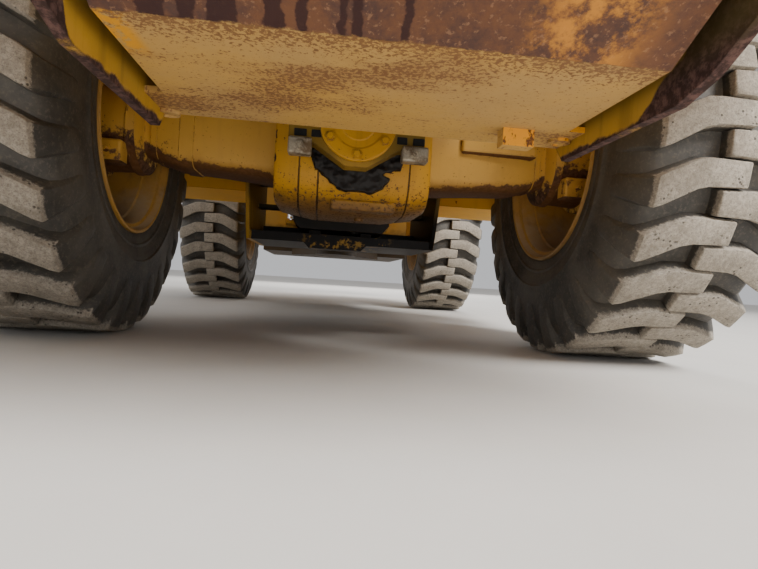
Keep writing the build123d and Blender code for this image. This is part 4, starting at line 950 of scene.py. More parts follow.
@dataclass(frozen=True)
class Plastic(Finish):
    """Moulded plastic or rubber with a fine grain and settled dust.

    Attributes:
        colour: Base colour.
        rough: Roughness where clean.
        dusting: How much dust lies on it.
        specular: Strength of its reflections.
    """

    colour: Colour
    rough: float = 0.5
    dusting: float = 0.35
    specular: float = 0.5

    def lay(self, board: Board, shader: Node, place: Socket) -> None:
        """Mixes colour, roughness and relief."""
        weather = board.add("Group", {"Dusting": self.dusting}, node_tree=Effects.weathering())
        pale = shaded(self.colour, 1.7)
        colour = board.mix(weather.outputs["Fade"], self.colour, pale)
        colour = board.mix(weather.outputs["Dust"], colour, (0.36, 0.31, 0.24, 1.0))
        rough = board.plus(board.times(weather.outputs["Grain"], 0.2), self.rough)
        rough = board.plus(rough, board.times(weather.outputs["Dust"], 0.3), clamp=True)
        board.feed(shader, {"Base Color": colour, "Specular IOR Level": self.specular, "Roughness": rough})
        board.relief(shader, weather.outputs["Grain"], 0.25, 0.0008)


@dataclass(frozen=True)
class Glazing(Finish):
    """Tinted window glass with a film of dust.

    Attributes:
        tint: Colour of the glass.
    """

    tint: Colour

    def lay(self, board: Board, shader: Node, place: Socket) -> None:
        """Mixes colour, roughness and relief."""
        film = board.span(board.noise(place, 6.0, 7.0, 0.65), 0.42, 0.75)
        board.feed(shader, {"Transmission Weight": 0.92, "IOR": 1.45,
                            "Base Color": board.mix(film, self.tint, (0.62, 0.60, 0.54, 1.0)),
                            "Roughness": board.plus(0.03, board.times(film, 0.25))})


@dataclass(frozen=True)
class Cloth(Finish):
    """Woven seat cover.

    Attributes:
        colour: Colour of the yarn.
    """

    colour: Colour

    def lay(self, board: Board, shader: Node, place: Socket) -> None:
        """Mixes colour, roughness and relief."""
        yarn = {"Vector": place, "Scale": 160.0, "Distortion": 0.6}
        warp = board.add("TexWave", yarn, bands_direction="X")
        weft = board.add("TexWave", yarn, bands_direction="Z")
        weave = board.times(warp.outputs["Fac"], weft.outputs["Fac"])
        pale = shaded(self.colour, 2.4)
        worn = board.span(board.noise(place, 5.0, 5.0, 0.6), 0.4, 0.7)
        colour = board.mix(board.times(worn, 0.4), board.mix(weave, self.colour, pale),
                           (0.20, 0.18, 0.15, 1.0))
        board.feed(shader, {"Base Color": colour, "Sheen Weight": 0.3,
                            "Roughness": board.plus(0.78, board.times(weave, 0.15))})
        board.relief(shader, weave, 0.4, 0.001)


class Finishes:
    """Every finish of the loader, made once and looked up by name."""

    def __init__(self) -> None:
        """Makes the finishes."""
        self.bend = axle_middle("rear").y - BEND_BEHIND_AXLE
        height = axle_middle("rear").z
        self.body = Paint("body_yellow", (0.60, 0.30, 0.018, 1), (0.54, 0.30, 0.045, 1), chipping=0.34,
                          edges=0.60, dusting=0.22, streaking=0.10, specular=0.35).made()
        # The frame's low parts near the middle turn black from oily dirt and painted shade.
        self.frame = Paint("frame_yellow", (0.58, 0.31, 0.025, 1), (0.46, 0.27, 0.06, 1), chipping=0.55,
                           edges=0.85, dusting=0.25, streaking=0.14, grime=0.92, grime_top=0.56).made()
        self.bucket = Paint("bucket_worn", (0.54, 0.29, 0.03, 1), (0.40, 0.25, 0.08, 1), chipping=0.95,
                            edges=1.0, dusting=0.35, streaking=0.14, specks=22.0,
                            rust=(0.070, 0.046, 0.034, 1)).made()
        self.plate = PlatePaint("plate_yellow", (0.52, 0.28, 0.022, 1), (0.38, 0.22, 0.035, 1), chipping=0.42,
                                edges=0.8, dusting=0.12, streaking=0.4, rust=(0.034, 0.018, 0.015, 1.0),
                                under=1.0, specular=0.2, bend=self.bend).made()
        axle = {"chipping": 0.50, "edges": 0.35, "dusting": 0.10, "gloss": 0.38, "specks": 75.0,
                "under": 0.80, "ends": 1.0, "rust": (0.042, 0.020, 0.011, 1.0), "streaking": 0.2,
                "specular": 0.32, "height": height}
        self.axle = AxlePaint("axle_yellow", (0.58, 0.29, 0.010, 1), (0.50, 0.235, 0.012, 1),
                              seams=(-0.256, 0.260), **axle).made()
        # Darker than the rear axle and black low near the middle, from oily dirt and painted shade.
        self.front_axle = AxlePaint("axle_oily", (0.50, 0.25, 0.012, 1), (0.38, 0.19, 0.012, 1), grime=0.93,
                                    grime_top=height, **axle).made()
        self.rim = Paint("rim_ochre", (0.50, 0.27, 0.05, 1), (0.30, 0.18, 0.07, 1), chipping=0.35,
                         edges=0.4, dusting=0.65, gloss=0.5).made()
        self.tank = Paint("tank_orange", (0.80, 0.41, 0.02, 1), (0.72, 0.37, 0.035, 1), chipping=0.45,
                          edges=0.7, dusting=0.25, streaking=0.10, rust=(0.13, 0.030, 0.012, 1),
                          gloss=0.60, specular=0.14).made()
        self.belly = BellyPaint("belly_ochre", self.bend).made()
        self.tyre = TyreRubber("tyre_rubber_worn").made()
        self.black = Paint("chassis_black", (0.014, 0.013, 0.012, 1), (0.035, 0.031, 0.027, 1), chipping=0.4,
                           edges=0.6, dusting=0.22, gloss=0.5, specular=0.3).made()
        self.grease = Plastic("black_grease", (0.007, 0.005, 0.004, 1), 0.46, 0.04, specular=0.35).made()
        self.steel = Metal("worn_steel", (0.34, 0.32, 0.30, 1), (0.13, 0.075, 0.045, 1), 0.38,
                           staining=0.55).made()
        self.shiny = Metal("rubbed_steel", (0.36, 0.31, 0.23, 1), (0.14, 0.09, 0.045, 1), 0.34, staining=0.62,
                           metallic=0.6).made()
        # Near black that stands for the shade inside openings: painted shade.
        self.hole = Plastic("dark_hole", (0.006, 0.006, 0.006, 1), 0.8, 0.0).made()
        self.bolt = Metal("dull_bolt", (0.36, 0.34, 0.31, 1), (0.16, 0.11, 0.06, 1), 0.45,
                          staining=0.6).made()
        self.chrome = Metal("chrome_rod", (0.62, 0.62, 0.64, 1), (0.25, 0.22, 0.18, 1), 0.12,
                            staining=0.12).made()
        self.plastic = Plastic("cab_plastic", (0.025, 0.025, 0.027, 1)).made()
        self.glass = Glazing("window_glass", (0.72, 0.80, 0.78, 1)).made()
        self.lens = Glazing("lamp_glass", (0.90, 0.91, 0.90, 1)).made()
        self.red = Plastic("lamp_red", (0.42, 0.012, 0.010, 1), 0.18, 0.15).made()
        self.mirror = Metal("mirror_glass", (0.70, 0.72, 0.74, 1), (0.30, 0.29, 0.26, 1), 0.04,
                            staining=0.1).made()
        self.cloth = Cloth("seat_cloth", (0.03, 0.03, 0.035, 1)).made()


@dataclass
class Part:
    """Sub-assembly of the loader.

    Attributes:
        finishes: The loader's finishes.
    """

    finishes: Finishes


@dataclass
class Tyre:
    """Loader tyre with two rows of swept traction lugs.

    Attributes:
        radius: Over the lugs.
        root: Groove floor.
        pitch_count: Lugs in one row.
        half_tread: From the middle to the tread's shoulder.
        half_section: From the middle to the widest point.
        bead: Where the tyre meets the rim.
        steps: Facets of the carcass.
    """

    radius: float = 0.6995
    root: float = 0.655
    pitch_count: int = 28
    half_tread: float = 0.212
    half_section: float = 0.246
    bead: float = 0.3535
    steps: int = 112

    def carcass(self) -> Piece:
        """Spins the carcass with its shoulder, sidewall ridges and bead."""
        side = [(0.0, self.root), (0.12, self.root - 0.002), (0.190, self.root - 0.008), (0.214, 0.632),
                (0.228, 0.605), (0.239, 0.565), (0.245, 0.525), (self.half_section, 0.490), (0.246, 0.462),
                (0.249, 0.458), (0.249, 0.452), (0.244, 0.448), (0.240, 0.425), (0.234, 0.402),
                (0.236, 0.398), (0.235, 0.392), (0.230, 0.388), (0.227, 0.372), (0.2265, 0.360),
                (0.222, self.bead), (0.0, self.bead)]
        left = [(-x, r) for x, r in side[1:-1]]
        return spun("carcass", side + left[::-1], ORIGIN, Turn.ACROSS, self.steps, closed=True)

    def lug(self) -> Piece:
        """Sweeps one lug from just past the middle, over the shoulder and down the sidewall."""
        stations = [
            # across, along the tread, half width, top, foot
            (-0.034, 0.000, 0.030, self.radius - 0.004, 0.640),
            (-0.030, 0.000, 0.033, self.radius, 0.640),
            (0.070, 0.000, 0.036, self.radius, 0.640),
            (0.105, -0.006, 0.039, self.radius, 0.640),
            (0.190, -0.050, 0.043, self.radius - 0.001, 0.632),
            (self.half_tread, -0.062, 0.041, self.radius - 0.004, 0.620),
            (0.229, -0.064, 0.036, 0.655, 0.585),
            (0.2435, -0.064, 0.032, 0.595, 0.540),
            (0.2465, -0.064, 0.024, 0.545, 0.520),
        ]
        rings = []
        for across, shift, half, top, foot in stations:
            draft = 0.010
            corners = [(-half - draft, foot), (-half, top), (0.0, top), (half, top), (half + draft, foot)]
            ring = []
            for offset, radius in corners:
                angle = (shift + offset) / self.radius
                ring.append((across, -radius * math.cos(angle), radius * math.sin(angle)))
            rings.append(ring)
        return rounded(swept("lug", rings), 0.0035, 2, 32.0)

    def shape(self) -> Piece:
        """Builds one whole tyre at the origin, and marks its lugs' faces."""
        pieces = [self.carcass()]
        right = self.lug()
        left = copied(right, Matrix.Scale(-1, 4, (1, 0, 0)))
        for pattern, phase in ((right, 0.0), (left, 0.5)):
            for number in range(self.pitch_count):
                turn = 2 * math.pi * (number + phase) / self.pitch_count
                pieces.append(copied(pattern, Matrix.Rotation(turn, 4, "X")))
            removed(pattern)
        tyre = smooth(joined("tyre", pieces), 40.0)
        mark = tyre.data.attributes.new("tread", "FLOAT", "POINT")
        values = []
        for vertex in tyre.data.vertices:
            reach = math.hypot(vertex.co.y, vertex.co.z)
            values.append(min(1.0, max(0.0, (reach - self.root - 0.012) / (self.radius - self.root - 0.022))))
        mark.data.foreach_set("value", values)
        return tyre


@dataclass
class Rim:
    """Steel rim with its disc, wheel nuts and hub cap, outer side towards +X.

    Attributes:
        flange: Radius over the flanges.
        width: Half width over the flanges.
        nut_circle: Radius of the wheel nuts' circle.
        nut_count: Wheel nuts.
        cap_bolts: Bolts on the hub's cap.
    """

    flange: float = 0.353
    width: float = 0.225
    nut_circle: float = 0.188
    nut_count: int = 16
    cap_bolts: int = 8

    def well(self) -> Piece:
        """Spins the rim's barrel, disc and hub casing."""
        profile = [(-self.width, self.flange), (-0.231, 0.3515), (-0.233, 0.346), (-0.230, 0.340),
                   (-0.216, 0.337), (-0.208, 0.331), (-0.204, 0.320), (-0.192, 0.314), (-0.150, 0.3115),
                   (-0.143, 0.306), (0.060, 0.304), (0.098, 0.300), (0.094, 0.286), (0.074, 0.250),
                   (0.060, 0.232), (0.0585, 0.172), (0.0585, 0.064), (0.105, 0.064), (0.105, 0.0005),
                   (0.192, 0.0005), (0.192, 0.060), (0.186, 0.070), (0.184, 0.098), (0.176, 0.112),
                   (0.150, 0.121), (0.112, 0.127), (0.108, 0.150), (0.100, 0.156), (0.084, 0.158),
                   (0.082, 0.222), (0.092, 0.244), (0.122, 0.288), (0.132, 0.302), (0.160, 0.305),
                   (0.186, 0.311), (0.200, 0.320), (0.204, 0.331), (0.216, 0.337), (0.230, 0.340),
                   (0.233, 0.346), (0.231, 0.3515), (self.width, self.flange)]
        return lathed("well", profile, ORIGIN, Turn.ACROSS, 96, closed=True)

    def shape(self) -> Piece:
        """Builds the rim with its nuts and bolts."""
        pieces = [self.well()]
        nut = hex_bolt("nut", 0.017, 0.016, 0.009)
        small = hex_bolt("small", 0.010, 0.009, 0.0)
        rings = [
            # pattern, circle, count, x, outwards
            (nut, self.nut_circle, self.nut_count, 0.0825, 1),
            (nut, 0.200, self.nut_count, 0.0590, -1),
            (small, 0.084, self.cap_bolts, 0.1845, 1),
            (small, 0.142, 12, 0.1065, 1),
        ]
        for pattern, circle, count, x, outwards in rings:
            face = Matrix.Rotation(math.pi / 2 * outwards, 4, "Y")
            for number in range(count):
                turn = Matrix.Rotation(2 * math.pi * number / count, 4, "X")
                pieces.append(copied(pattern, turn @ Matrix.Translation((x, 0, circle)) @ face))
        for pattern in (nut, small):
            removed(pattern)
        return joined("rim", pieces)


def hex_bolt(name: str, radius: float, height: float, stud: float) -> Piece:
    """Hexagon head on a washer, along +Z from the origin.

    Args:
        name: The piece's name.
        radius: Over the corners.
        height: Of the head.
        stud: How far a thread stands out of it, or 0.

    Returns:
        The bolt as one piece.
    """
    rings = []
    for level, reach in ((0.0, radius), (height * 0.82, radius), (height, radius * 0.86)):
        rings.append([(reach * math.cos(math.pi / 3 * n), reach * math.sin(math.pi / 3 * n), level)
                      for n in range(6)])
    head = swept(name, rings)
    washer = spun(name + "_washer", [(0.0, 0.0), (0.0, radius * 1.25), (radius * 0.14, radius * 1.25),
                                     (radius * 0.18, radius * 1.15), (radius * 0.18, 0.0)], ORIGIN, Turn.UP,
                  16)
    parts = [head, washer]
    if stud:
        parts.append(spun(name + "_stud", [(0.0, 0.0), (0.0, radius * 0.5), (height + stud, radius * 0.5),
                                           (height + stud + 0.002, radius * 0.38),
                                           (height + stud + 0.002, 0.0)], ORIGIN, Turn.UP, 12))
    return joined(name, parts)


@dataclass
class Wheels(Part):
    """The four wheels, each a tyre on a rim."""

    def build(self) -> None:
        """Builds each tyre and rim at its node's place."""
        tyre = Tyre().shape()
        rim = Rim().shape()
        for end in ("rear", "front"):
            for side in Side:
                name = f"{end}_{side.word}"
                low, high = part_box("rim_" + name)
                centre = middle(low, high)
                turned = Matrix.Rotation(0.0 if side is Side.RIGHT else math.pi, 4, "Z")
                roll = Matrix.Rotation(0.11 * (1 + len(name)), 4, "X")
                seated(copied(tyre, Matrix.Translation(centre) @ roll), "wheel_" + name,
                       self.finishes.tyre, ("tyre_" + name,)).name = "worn_tyre_" + name
                seated(copied(rim, Matrix.Translation(centre) @ turned), "wheel_" + name,
                       self.finishes.rim, ("rim_" + name,)).name = "steel_rim_" + name
        removed(tyre)
        removed(rim)


def rounded_ring(x: float, half: float, low: float, high: float, radius: float, axis: Corner) -> list[Point]:
    """Sixteen corners of a section square to X, with rounded corners.

    Args:
        x: Where the section stands.
        half: Half its depth along Y.
        low: Its bottom, from the middle.
        high: Its top, from the middle.
        radius: Of its corners.
        axis: Y and Z of its middle.

    Returns:
        The corners in order.
    """
    ring = []
    for corner, (side, level, way) in enumerate(((-1, low, 1), (1, low, 1), (1, high, -1), (-1, high, -1))):
        for step in range(4):
            turn = math.radians(180 + 90 * corner + 30 * step)
            ring.append((x, axis[0] + side * (half - radius) + radius * math.cos(turn),
                         axis[1] + level + way * radius + radius * math.sin(turn)))
    return ring


def bolts(radius: float, height: float, stud: float, places: list[Matrix]) -> list[Piece]:
    """Hexagon bolts of one kind.

    Args:
        radius: Over the corners.
        height: Of the head.
        stud: How far a thread stands out of it, or 0.
        places: Place and turn of each bolt.

    Returns:
        The bolts.
    """
    pattern = hex_bolt("bolt", radius, height, stud)
    copies = [copied(pattern, place) for place in places]
    removed(pattern)
    return copies


def facing_back(x: float, y: float, z: float) -> Matrix:
    """Place of a bolt whose head points backwards."""
    return Matrix.Translation((x, y, z)) @ Matrix.Rotation(math.pi / 2, 4, "X")


def ringed(pattern: Piece, centre: Point, circle: float, count: int, turn: Turn, way: int = 1,
           start: float = 0.0) -> list[Piece]:
    """Copies of a fastener on a circle round an axis, heads pointing along it.

    Args:
        pattern: The fastener, along +Z from the origin.
        centre: Point on the axis, in the plane of the heads' seats.
        circle: Radius of the circle.
        count: How many.
        turn: The axis.
        way: 1 where the heads point along the axis, -1 where they point against it.
        start: Turn of the first, in degrees.

    Returns:
        The copies.
    """
    aim = Vector(turn.value) * way
    face = Vector((0, 0, 1)).rotation_difference(aim).to_matrix().to_4x4()
    side = Vector((0, 0, 1)) if turn is not Turn.UP else Vector((0, 1, 0))
    copies = []
    for number in range(count):
        spin = Matrix.Rotation(math.radians(start) + 2 * math.pi * number / count, 4, Vector(turn.value))
        copies.append(copied(pattern, Matrix.Translation(Vector(centre) + (spin @ side) * circle) @ face))
    return copies


def rod(name: str, start: Point, end: Point, radius: float, steps: int = 20, lip: float = 0.0015) -> Piece:
    """Round bar with softened ends.

    Args:
        name: The piece's name.
        start: Middle of one end.
        end: Middle of the other.
        radius: Of the bar.
        steps: Facets round it.
        lip: Width of the softened rim.

    Returns:
        The bar.
    """
    line = Vector(end) - Vector(start)
    reach = line.length
    bar = spun(name, [(0.0, 0.0), (0.0, radius - lip), (lip, radius), (reach - lip, radius),
                      (reach, radius - lip), (reach, 0.0)], ORIGIN, Turn.UP, steps)
    turn = Vector((0, 0, 1)).rotation_difference(line.normalized()).to_matrix().to_4x4()
    bar.data.transform(Matrix.Translation(start) @ turn)
    return smooth(bar, 40.0)


@dataclass
class AxleHousing(Part):
    """Cast housing of one axle: seamed middle, arms, drums and what it hangs or turns by.

    Attributes:
        end: "rear" or "front".
        drum: Line of a brake drum as (x, radius).
        sections: Sections of the casting as x, half depth, low, high and corner radius.
        marks: Seams and collars as x, width and height, where a seam's height is below zero.
    """

    end: str
    drum: tuple[Corner, ...] = (
        (0.700, 0.0), (0.700, 0.116), (0.716, 0.146), (0.744, 0.149), (0.748, 0.140), (0.800, 0.142),
        (0.858, 0.146), (0.861, 0.163), (0.886, 0.165), (0.889, 0.150), (1.016, 0.158), (1.024, 0.150),
        (1.024, 0.0615), (1.076, 0.0610), (1.076, 0.0))
    sections: tuple[tuple[float, ...], ...] = (
        # x, half depth, low, high, corner radius
        (0.0, 0.239, -0.251, 0.250, 0.125),
        (0.130, 0.238, -0.250, 0.250, 0.125),
        (0.246, 0.214, -0.230, 0.222, 0.105),
        (0.256, 0.206, -0.222, 0.214, 0.095),
        (0.262, 0.134, -0.150, 0.146, 0.052),
        (0.285, 0.124, -0.140, 0.138, 0.044),
        (0.450, 0.115, -0.127, 0.128, 0.038),
        (0.600, 0.104, -0.120, 0.110, 0.040),
        (0.690, 0.089, -0.094, 0.094, 0.050),
        (0.746, 0.090, -0.095, 0.095, 0.060),
    )
    marks: tuple[tuple[float, ...], ...] = (
        # x, width, height
        (-0.175, 0.003, -0.003),
        (-0.113, 0.003, -0.003),
        (0.183, 0.003, -0.003),
        (-0.559, 0.046, 0.004),
        (0.668, 0.020, 0.004),
        (-0.668, 0.020, 0.004),
    )

    def __post_init__(self) -> None:
        """Looks up the axle's place."""
        self.y, self.z = axle_middle(self.end).yz

    def at(self, x: float, lift: float) -> list[Point]:
        """Cuts the casting across.

        Args:
            x: Where the cut is.
            lift: How far its outline is grown.

        Returns:
            The section's corners.
        """
        rows = self.sections
        after = next(number for number, row in enumerate(rows) if row[0] >= abs(x) or number == len(rows) - 1)
        near, far = rows[max(after - 1, 0)], rows[after]
        part = 0.0 if far[0] == near[0] else (abs(x) - near[0]) / (far[0] - near[0])
        half, low, high, radius = (a + (b - a) * part for a, b in zip(near[1:], far[1:]))
        return rounded_ring(x, half + lift, low - lift, high + lift, radius, (self.y, self.z))

    def casting(self) -> Piece:
        """Sweeps the middle and both arms in one, with its seams and collars."""
        cuts = [(side * row[0], 0.0) for row in self.sections for side in (-1, 1) if side > 0 or row[0]]
        ease = 0.0015
        for x, width, height in self.marks:
            cuts += [(x - width / 2 - ease, 0.0), (x - width / 2, height), (x + width / 2, height),
                     (x + width / 2 + ease, 0.0)]
        return smooth(swept("casting", [self.at(x, lift) for x, lift in sorted(cuts)]), 32.0)

    def hubs(self) -> list[Piece]:
        """Drums with their flange bolts and the port under each."""
        bolt = hex_bolt("drum_bolt", 0.011, 0.010, 0.0)
        pieces = []
        for side in (-1, 1):
            line = [(side * x, radius) for x, radius in self.drum]
            pieces.append(lathed("drum", line, (0, self.y, self.z), Turn.ACROSS, 48))
            pieces += ringed(bolt, (side * 0.7395, self.y, self.z), 0.1365, 12, Turn.ACROSS, -side, 15.0)
            pieces.append(block("port", (side * 0.742, self.y - 0.172, self.z - 0.142),
                                (side * 0.826, self.y - 0.105, self.z - 0.066), 0.008))
            pieces.append(rod("nipple", (side * 0.785, self.y - 0.172, self.z - 0.104),
                              (side * 0.785, self.y - 0.196, self.z - 0.104), 0.008))
        removed(bolt)
        return pieces

    def trunnions(self) -> list[Piece]:
        """Pivot stubs that the frame's hangers hold, with the bolted cap at the back."""
        line = [(-0.350, 0.0), (-0.350, 0.102), (-0.346, 0.1058), (0.346, 0.1058), (0.350, 0.102),
                (0.350, 0.0)]
        cap = [(-0.360, 0.0), (-0.360, 0.050), (-0.3565, 0.055), (-0.3565, 0.074), (-0.3595, 0.079),
               (-0.3595, 0.112), (-0.357, 0.116), (-0.3485, 0.1165), (-0.3485, 0.0)]
        centre = (0, self.y, self.z)
        bolt = hex_bolt("cap_bolt", 0.0125, 0.010, 0.0)
        pieces = [lathed("stub", line, centre, Turn.LENGTH, 48),
                  lathed("cap", cap, centre, Turn.LENGTH, 64, 25.0)]
        pieces += ringed(bolt, (0, self.y - 0.3595, self.z), 0.095, 6, Turn.LENGTH, -1)
        pieces += ringed(bolt, (0, self.y + 0.350, self.z), 0.080, 4, Turn.LENGTH, 1, 45.0)
        removed(bolt)
        return pieces

    def nose(self) -> list[Piece]:
        """Pinion nose of the front axle with its shaft, and the yoke round the hinge line's ball."""
        pivot = Vector(frame["joints"][0]["pos_m"])
        line = [(-0.330, 0.0), (-0.330, 0.104), (-0.322, 0.110), (-0.296, 0.110), (-0.292, 0.098),
                (-0.250, 0.102), (-0.225, 0.130), (-0.200, 0.150), (-0.150, 0.150), (0.0, 0.0)]
        bolt = hex_bolt("nose_bolt", 0.010, 0.009, 0.0)
        centre = (0, self.y, self.z)
        shaft_end = (0, pivot.y + 0.084, self.z)
        pieces = [lathed("nose", line, centre, Turn.LENGTH, 48),
                  rod("shaft", (0, self.y - 0.329, self.z), shaft_end, 0.0448, 32),
                  rod("flange", (0, self.y - 0.352, self.z), (0, self.y - 0.329, self.z), 0.078, 36)]
        pieces += ringed(bolt, (0, self.y - 0.352, self.z), 0.062, 8, Turn.LENGTH, -1)
        pieces.append(block("bridge", (-0.030, pivot.y + 0.085, self.z - 0.068),
                            (0.030, pivot.y + 0.105, self.z + 0.068), 0.005))
        for side in (-1, 1):
            low, high = sorted((self.z + side * 0.050, self.z + side * 0.068))
            pieces.append(block("yoke", (-0.030, pivot.y, low), (0.030, pivot.y + 0.100, high), 0.004))
            pieces.append(rod("eye", (0, pivot.y, low), (0, pivot.y, high), 0.0298, 28))
            pieces.append(block("pad", (side * 0.300, self.y - 0.105, self.z),
                                (side * 0.450, self.y + 0.105, self.z + 0.1695), 0.008))
        removed(bolt)
        return pieces

    def rear_marks(self) -> list[Piece]:
        """Ledge low on the middle, the raised pad on the right arm and the drain plug."""
        plug = hex_bolt("plug", 0.016, 0.012, 0.0)
        plug_place = Matrix.Translation((0.036, self.y - 0.05, self.z - 0.2495)) @ Matrix.Rotation(math.pi, 4,
                                                                                                   "X")
        pieces = [block("ledge", (-0.067, self.y - 0.208, self.z - 0.243),
                        (0.144, self.y - 0.10, self.z - 0.208), 0.007),
                  block("arm_pad", (0.376, self.y - 0.137, self.z - 0.004),
                        (0.648, self.y - 0.08, self.z + 0.070), 0.010, 3), copied(plug, plug_place)]
        removed(plug)
        return pieces

    def build(self) -> None:
        """Joins the housing and seats it in place of its node."""
        pieces = [self.casting(), *self.hubs(), *self.rear_marks()]
        pieces += self.trunnions() if self.end == "rear" else self.nose()
        finish = self.finishes.axle if self.end == "rear" else self.finishes.front_axle
        seated(joined("axle_housing_" + self.end, pieces), self.end, finish,
               (self.end + "_axle",))


@dataclass
class HangerDress(Part):
    """What sits on the axle's rear hanger: steel blocks, near-black plates of painted shade in its slots, and the
    grease that has crept out.

    Attributes:
        grease_line: Outline of the grease, as X and Z.
        blocks: Left, right and bottom of the steel blocks.
        slots: Left and right of the slots, each darkened by a plate of painted shade.
        hanger_face: From the axle back to the hanger's face.
    """

    grease_line: tuple[Corner, ...] = (
        (-0.140, 0.650), (-0.140, 0.632), (-0.125, 0.577), (-0.092, 0.552), (-0.054, 0.519), (-0.020, 0.509),
        (0.018, 0.515), (0.055, 0.509), (0.090, 0.523), (0.116, 0.558), (0.083, 0.574), (0.151, 0.592),
        (0.160, 0.642), (0.160, 0.650))
    blocks: tuple[tuple[float, ...], ...] = ((-0.204, -0.135, 0.590), (0.135, 0.215, 0.593))
    slots: tuple[Corner, ...] = ((-0.189, -0.152), (-0.138, -0.108), (0.120, 0.151), (0.169, 0.205))
    hanger_face: float = 0.348

    def grease(self, y: float) -> Piece:
        """Lumpy grease on the housing's back, under the cap.

        Args:
            y: Y of the rear axle.

        Returns:
            The grease.
        """
        rings = [[(x, y - 0.232, z) for x, z in self.grease_line],
                 [(x, y - 0.258, z) for x, z in self.grease_line]]
        blob = swept("black_grease_patch", rings)
        choose(blob)
        mesh = blob.modifiers.new("mesh", "REMESH")
        mesh.mode = "VOXEL"
        mesh.voxel_size = 0.004
        bpy.ops.object.modifier_apply(modifier=mesh.name)
        lumps = bpy.data.textures.new("lumps", "CLOUDS")
        lumps.noise_scale = 0.022
        push = blob.modifiers.new("push", "DISPLACE")
        push.texture = lumps
        push.texture_coords = "LOCAL"
        push.strength = 0.016
        push.mid_level = 0.5
        bpy.ops.object.modifier_apply(modifier=push.name)
        return smooth(blob, 80.0)

    def build(self) -> None:
        """Builds and seats the three pieces."""
        y = axle_middle("rear").y
        face = y - self.hanger_face
        seated(self.grease(y), "rear", self.finishes.grease)
        blocks = []
        for near, far, low in self.blocks:
            blocks.append(block("block", (near, face - 0.026, low), (far, face + 0.020, 0.641), 0.007, 3))
        places = [facing_back((near + far) / 2, face - 0.026, low + 0.026) for near, far, low in self.blocks]
        blocks += bolts(0.013, 0.012, 0.006, places)
        seated(joined("hanger_blocks", blocks), "rear", self.finishes.shiny)
        # Near-black plates in the slots: painted shade.
        slots = [block("slot", (near, face - 0.003, 0.648), (far, face + 0.002, 0.670), 0.002)
                 for near, far in self.slots]
        seated(joined("hanger_slots", slots), "rear", self.finishes.hole)


@dataclass
class Belly(Part):
    """Small rounds under the belly guard's front corners and the bolts along its rear edge.

    Attributes:
        rounds: Places of the rounds, as X and Y from the rear axle.
        bolt_spots: X of the bolts.
        bolt_edge: From the guard's rear edge to the bolts.
    """

    rounds: tuple[Corner, ...] = ((-0.417, -0.802), (0.405, -0.853))
    bolt_spots: tuple[float, ...] = (-0.33, -0.11, 0.11, 0.33)
    bolt_edge: float = 0.06

    def build(self) -> None:
        """Builds rounds and bolts as one piece and seats it."""
        y = axle_middle("rear").y
        pieces = []
        for x, reach in self.rounds:
            line = [(0.001, 0.0), (0.001, 0.024), (-0.006, 0.023), (-0.007, 0.019), (-0.003, 0.017),
                    (-0.003, 0.0)]
            pieces.append(lathed("round", line, (x, y + reach, BELLY_UNDER), Turn.UP, 32))
        bolt_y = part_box("belly_guard")[0][1] + self.bolt_edge
        level = BELLY_UNDER + (self.finishes.bend - bolt_y) * math.tan(SLOPE)
        turn = Matrix.Rotation(math.pi - SLOPE, 4, "X")
        places = [Matrix.Translation((x, bolt_y, level)) @ turn for x in self.bolt_spots]
        pieces += bolts(0.014, 0.010, 0.0, places)
        seated(joined("belly_rounds", pieces), "rear", self.finishes.belly)


@dataclass
class BucketEdge(Part):
    """Bucket edge with its bolts, adapters and pointed teeth.

    Attributes:
        count: Teeth.
        margin: From the edge's end to the first tooth.
        bolt_shift: From a tooth to the bolts beside it.
    """

    count: int = 8
    margin: float = 0.045
    bolt_shift: float = 0.11

    def build(self) -> None:
        """Builds the edge and teeth in place of their node."""
        low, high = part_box("bucket_teeth")
        back, floor = low[1], low[2]
        edge = [(back, floor + 0.0255), (back, floor + 0.0495), (back + 0.240, floor + 0.0495),
                (back + 0.240, floor + 0.0425), (back + 0.210, floor + 0.0255)]
        pieces = [rounded(swept("edge", [[(x, y, z) for y, z in edge] for x in (low[0], high[0])]), 0.002, 1)]
        first = low[0] + self.margin
        pitch = (high[0] - low[0] - 2 * self.margin) / (self.count - 1)
        rings = [
            # along Y, half width, low, high
            (0.112, 0.026, 0.008, 0.0255),
            (0.126, 0.031, 0.000, 0.0255),
            (0.205, 0.033, 0.000, 0.0255),
            (0.238, 0.035, 0.000, 0.045),
            (0.250, 0.035, 0.001, 0.0625),
            (0.272, 0.033, 0.003, 0.0610),
            (0.300, 0.028, 0.011, 0.043),
            (0.327, 0.022, 0.020, 0.031),
        ]
        tooth = swept("tooth", [[(-half, back + y, floor + bottom), (half, back + y, floor + bottom),
                                 (half, back + y, floor + top), (-half, back + y, floor + top)]
                                for y, half, bottom, top in rings])
        tooth = smooth(rounded(tooth, 0.003, 2, 25.0), 35.0)
        places = []
        for number in range(self.count):
            middle_x = first + pitch * number
            pieces.append(copied(tooth, Matrix.Translation((middle_x, 0, 0))))
            for x in (middle_x - self.bolt_shift, middle_x + self.bolt_shift):
                if low[0] + 0.03 < x < high[0] - 0.03:
                    place = Matrix.Translation((x, back + 0.09, floor + 0.0255))
                    places.append(place @ Matrix.Rotation(math.pi, 4, "X"))
        removed(tooth)
        pieces += bolts(0.013, 0.006, 0.0, places)
        seated(joined("edge_and_teeth", pieces), "bucket", self.finishes.steel,
               ("bucket_teeth",))


